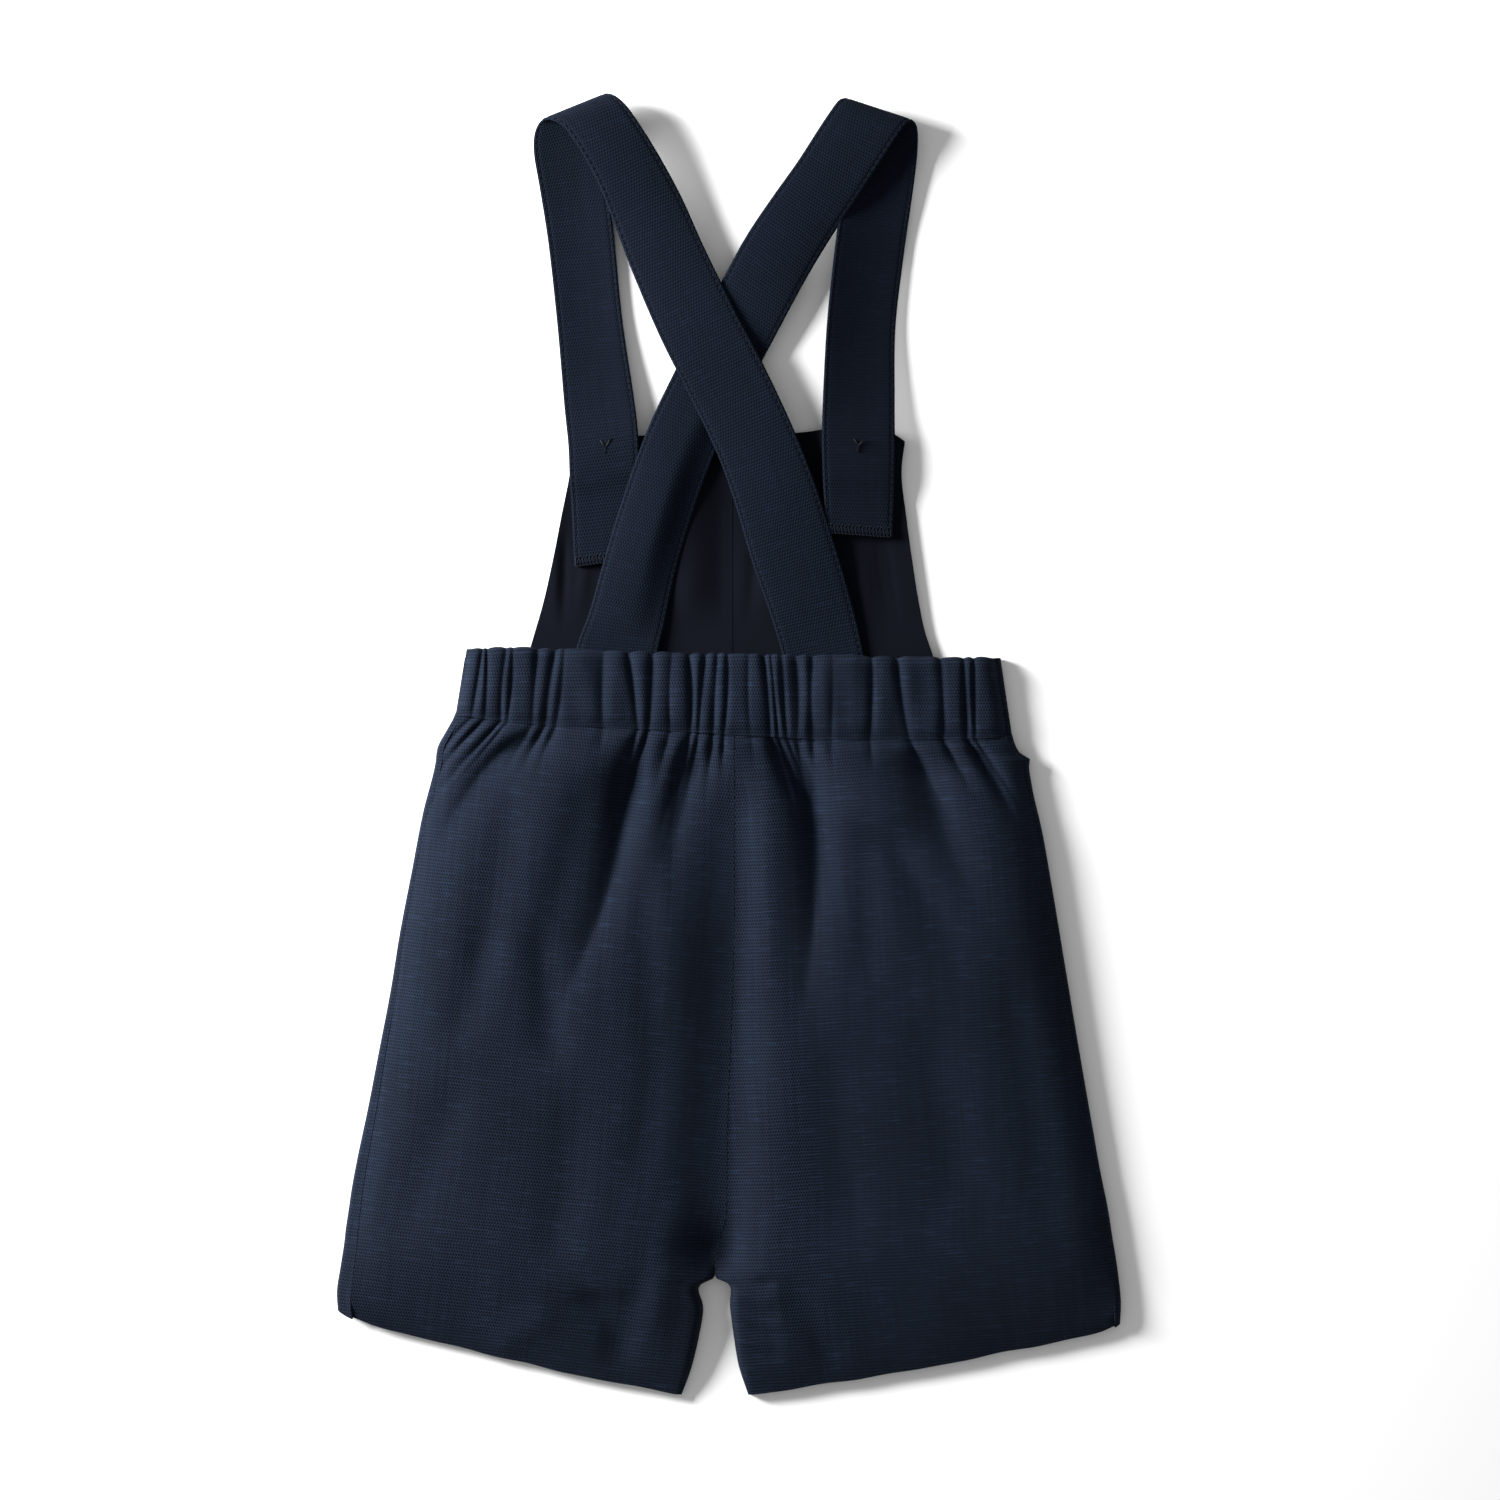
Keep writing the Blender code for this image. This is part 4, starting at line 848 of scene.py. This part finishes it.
RIGHT_STRAP = [
    StrapRow(56.0, 90.3, 5.0, -4.0, 28.9, 0.0, 5.0),
    StrapRow(55.9, 105.5, 5.8, -1.0, 30.2, 0.0, 6.0),
    StrapRow(55.7, 117.5, 7.4, 0.0, 31.0, 0.0, 6.5),
    StrapRow(55.6, 131.5, 7.6, 0.0, 31.4, 0.0, 8.0),
    StrapRow(55.8, 148.1, 6.6, 0.0, 31.0, -0.4, 11.0),
    StrapRow(56.9, 180.3, 5.2, -1.0, 29.7, -0.8, 13.0),
    StrapRow(60.6, 213.9, 5.2, -6.0, 29.9, -0.8, 13.0),
    StrapRow(63.6, 233.7, 4.8, -8.4, 29.6, -0.8, 9.0),
    StrapRow(66.2, 251.4, 4.6, -11.8, 29.2, -0.6, 4.0),
    StrapRow(67.0, 263.4, 5.9, -15.5, 29.6, -0.3),
    StrapRow(66.2, 270.8, 8.8, -18.2, 30.2, 0.0),
    StrapRow(62.6, 271.9, 11.8, -18.4, 31.0, 0.3),
    StrapRow(57.0, 264.9, 13.3, -20.5, 30.6, 0.6),
    StrapRow(42.7, 243.0, 12.2, -30.0, 29.8, 0.9, 4.0),
    StrapRow(31.1, 226.2, 10.6, -33.2, 30.4, 0.9, 6.0),
    StrapRow(21.0, 210.5, 8.6, -34.0, 31.3, 0.8, 5.0),
    StrapRow(11.1, 192.6, 6.4, -32.2, 31.5, 0.6, 2.0),
    StrapRow(1.0, 173.7, 5.4, -30.2, 31.5, 0.4, 0.0, 0.8),
    StrapRow(-9.1, 154.2, 5.4, -27.6, 31.2, 0.4, 0.0, 1.6),
    StrapRow(-19.4, 132.9, 6.8, -22.6, 30.7, 0.8, 0.0, 2.6),
    StrapRow(-27.0, 113.2, 8.2, -19.2, 30.4, 1.2, 0.0, 3.4),
    StrapRow(-34.1, 91.6, 7.3, -17.2, 30.6, 1.6, 0.0, 3.0),
    StrapRow(-39.2, 73.6, 5.8, -15.6, 31.2, 1.6, 0.0, 2.0),
    StrapRow(-44.0, 54.3, 4.5, -11.0, 32.6, 1.0, 0.0, 1.0),
    StrapRow(-47.4, 43.6, 3.8, -5.0, 34.6, 0.3),
    StrapRow(-49.6, 33.0, 3.3, -2.7, 36.4, 0.0),
]
STRAP_WALL = 1.4
LOOP_RISE = -2.5
STRAP_STEPS = 10
STITCH_IN = 1.6
STITCH_SINK = 0.28


def strap_middle(rows, across):
    """The middle of the strap's wall at each share across, -1 to 1."""
    keys = np.arange(len(rows), dtype=float)
    at = np.linspace(0, len(rows) - 1, (len(rows) - 1) * STRAP_STEPS + 1)
    line = {name: smooth_line(keys, np.array([getattr(r, name) for r in rows], float), at)
            for name in StrapRow._fields}
    centre = np.stack([line["x"], line["y"], line["z"]], -1)
    centre[:, 2] += LOOP_RISE * ease((line["y"] - 165) / 70) * ease((line["z"] - 3.5) / 6)
    turn = np.radians(line["turn"])
    plan = np.stack([np.cos(turn), np.sin(turn), np.zeros_like(turn)], -1)
    reach = across[None, :, None] * line["width"][:, None, None] / 2
    points = centre[:, None] + plan[:, None] * reach
    points[..., 2] += line["arch"][:, None] * (1 - across[None] ** 2)
    points[..., 2] -= np.tan(np.radians(line["tilt"]))[:, None] * reach[..., 0]
    points[..., 2] -= line["fall"][:, None] * ease((across[None] - 0.1) / 0.75)
    return points


def strap_faces(rows, across):
    """Upper and lower face: thinner at the folded edges, with the stitches drawn in."""
    middle = strap_middle(rows, across)
    normal = surface_normals(middle)
    width = np.linalg.norm(middle[:, -1] - middle[:, 0], axis=1)[:, None]
    from_edge = (1 - np.abs(across))[None] * width / 2
    half = STRAP_WALL / 2 * (0.35 + 0.65 * ease(from_edge / 0.9))
    half = half - STITCH_SINK * np.exp(-((from_edge - STITCH_IN) / 0.55) ** 2)
    return middle + normal * half[..., None], middle - normal * half[..., None]


def add_strap(name, rows, node):
    edge = 1 - np.array([0, 0.012, 0.03, 0.055, 0.08, 0.10, 0.12, 0.15, 0.19])
    across = np.concatenate([-edge, np.linspace(-0.75, 0.75, 17), edge[::-1]])
    upper, lower = strap_faces(rows, across)
    # Each strap wears the linen copy that is painted darker as shade.
    return add_cloth(name, strap_linen_painted_shade, "linen", upper, lower, arc_map(upper), node)


strap_left = add_strap("shoulder_strap_left", LEFT_STRAP, "strap_left")
strap_right = add_strap("shoulder_strap_right", RIGHT_STRAP, "strap_right")

# Sewing on the straps: short rods of navy thread for the topstitching, loops over the
# overlocked square ends, and the tails where the buttons are sewn on.


def add_rod(mesh, start, end, radius, sides=5):
    """A short round piece of thread between two points in mm."""
    from mathutils import Matrix, Vector
    start, end = Vector(start), Vector(end)
    run = end - start
    turn = run.to_track_quat("Z", "Y").to_matrix().to_4x4()
    place = Matrix.Translation((start + end) / 2 * MM) @ turn
    bmesh.ops.create_cone(mesh, cap_ends=True, segments=sides, radius1=radius * MM,
                          radius2=radius * MM, depth=run.length * MM, matrix=place)


def add_thread(name, mesh, material):
    data = bpy.data.meshes.new(name)
    mesh.to_mesh(data)
    mesh.free()
    data.polygons.foreach_set("use_smooth", np.ones(len(data.polygons), bool))
    data.materials.append(material)
    piece = bpy.data.objects.new(name, data)
    bpy.context.scene.collection.objects.link(piece)
    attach(piece, "root")
    return piece


STITCH_LENGTH = 2.4
STITCH_GAP = 0.7
STITCH_RADIUS = 0.15


def stitch_line(mesh, path, outward):
    """Stitches laid along a path, lifted outward by half a thread."""
    steps = np.concatenate([[0], np.cumsum(np.linalg.norm(np.diff(path, axis=0), axis=1))])
    start = 0.6
    while start + STITCH_LENGTH < steps[-1]:
        ends = [np.array([np.interp(place, steps, path[:, i] + outward[:, i] * 0.06)
                          for i in range(3)]) for place in (start, start + STITCH_LENGTH)]
        add_rod(mesh, ends[0], ends[1], STITCH_RADIUS)
        start += STITCH_LENGTH + STITCH_GAP


def add_topstitching(name, rows):
    mesh = bmesh.new()
    width = 31.0
    for side in (-1, 1):
        share = side * (1 - 2 * STITCH_IN / width)
        across = np.array([share - 0.01, share, share + 0.01])
        middle = strap_middle(rows, across)
        normal = surface_normals(middle)[:, 1]
        half = STRAP_WALL / 2 - STITCH_SINK
        for face in (1, -1):
            stitch_line(mesh, middle[:, 1] + normal * face * half, normal * face)
    return add_thread(name, mesh, thread)


stitches_left = add_topstitching("strap_topstitching_left", LEFT_STRAP)
stitches_right = add_topstitching("strap_topstitching_right", RIGHT_STRAP)

OVERLOCK_DEPTH = 3.6
OVERLOCK_PITCH = 1.5


def add_overlock(name, rows):
    """Loops of thread over the strap's cut end, and a needle line above them."""
    mesh = bmesh.new()
    count = int(rows[0].width / OVERLOCK_PITCH)
    shares = np.linspace(-0.94, 0.94, count)
    middle = strap_middle(rows, shares)[:STRAP_STEPS + 1]
    along = middle[1:3].mean(axis=0) - middle[0]
    along /= np.linalg.norm(along, axis=1, keepdims=True)
    top = middle[0] + np.array([0, 0, STRAP_WALL / 2 + 0.1])
    for index in range(count):
        wobble = 0.35 * math.sin(index * 2.3)
        inside = top[index] + along[index] * (OVERLOCK_DEPTH + wobble)
        edge = top[index] - along[index] * 0.15
        under = edge - np.array([0, 0, STRAP_WALL + 0.2])
        add_rod(mesh, inside, edge, 0.24)
        add_rod(mesh, edge, under, 0.24)
        if index + 1 < count:
            add_rod(mesh, edge, top[index + 1] + along[index + 1] * OVERLOCK_DEPTH, 0.2)
            add_rod(mesh, inside, top[index + 1] + along[index + 1] * OVERLOCK_DEPTH, 0.22)
            add_rod(mesh, edge, top[index + 1] - along[index + 1] * 0.15, 0.24)
    return add_thread(name, mesh, thread)


overlock_left = add_overlock("strap_overlock_left", LEFT_STRAP)
overlock_right = add_overlock("strap_overlock_right", RIGHT_STRAP)

# The height of the strap's middle, and the tail's way over it.
TAILS = {
    "button_tail_left": (6.2, [(-55.3, 130.7), (-53.0, 127.8), (-53.4, 124.8), (-53.0, 127.8),
                               (-50.6, 131.6)]),
    "button_tail_right": (7.9, [(53.6, 131.2), (55.6, 128.2), (55.2, 125.2), (55.6, 128.2),
                                (58.0, 131.0)]),
}
TAIL_RADIUS = 0.3
for tail_name, (middle_height, points) in TAILS.items():
    mesh = bmesh.new()
    height = middle_height + STRAP_WALL / 2 + 0.2
    for start, end in zip(points, points[1:]):
        add_rod(mesh, (*start, height), (*end, height), TAIL_RADIUS, 6)
    add_thread(tail_name, mesh, dark_thread)

# Buttons: two in resin, under the bib. They are the CAD solids with a satin finish.

for node in ("button_left", "button_right"):
    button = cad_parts[node]
    button.data.materials.clear()
    button.data.materials.append(resin)
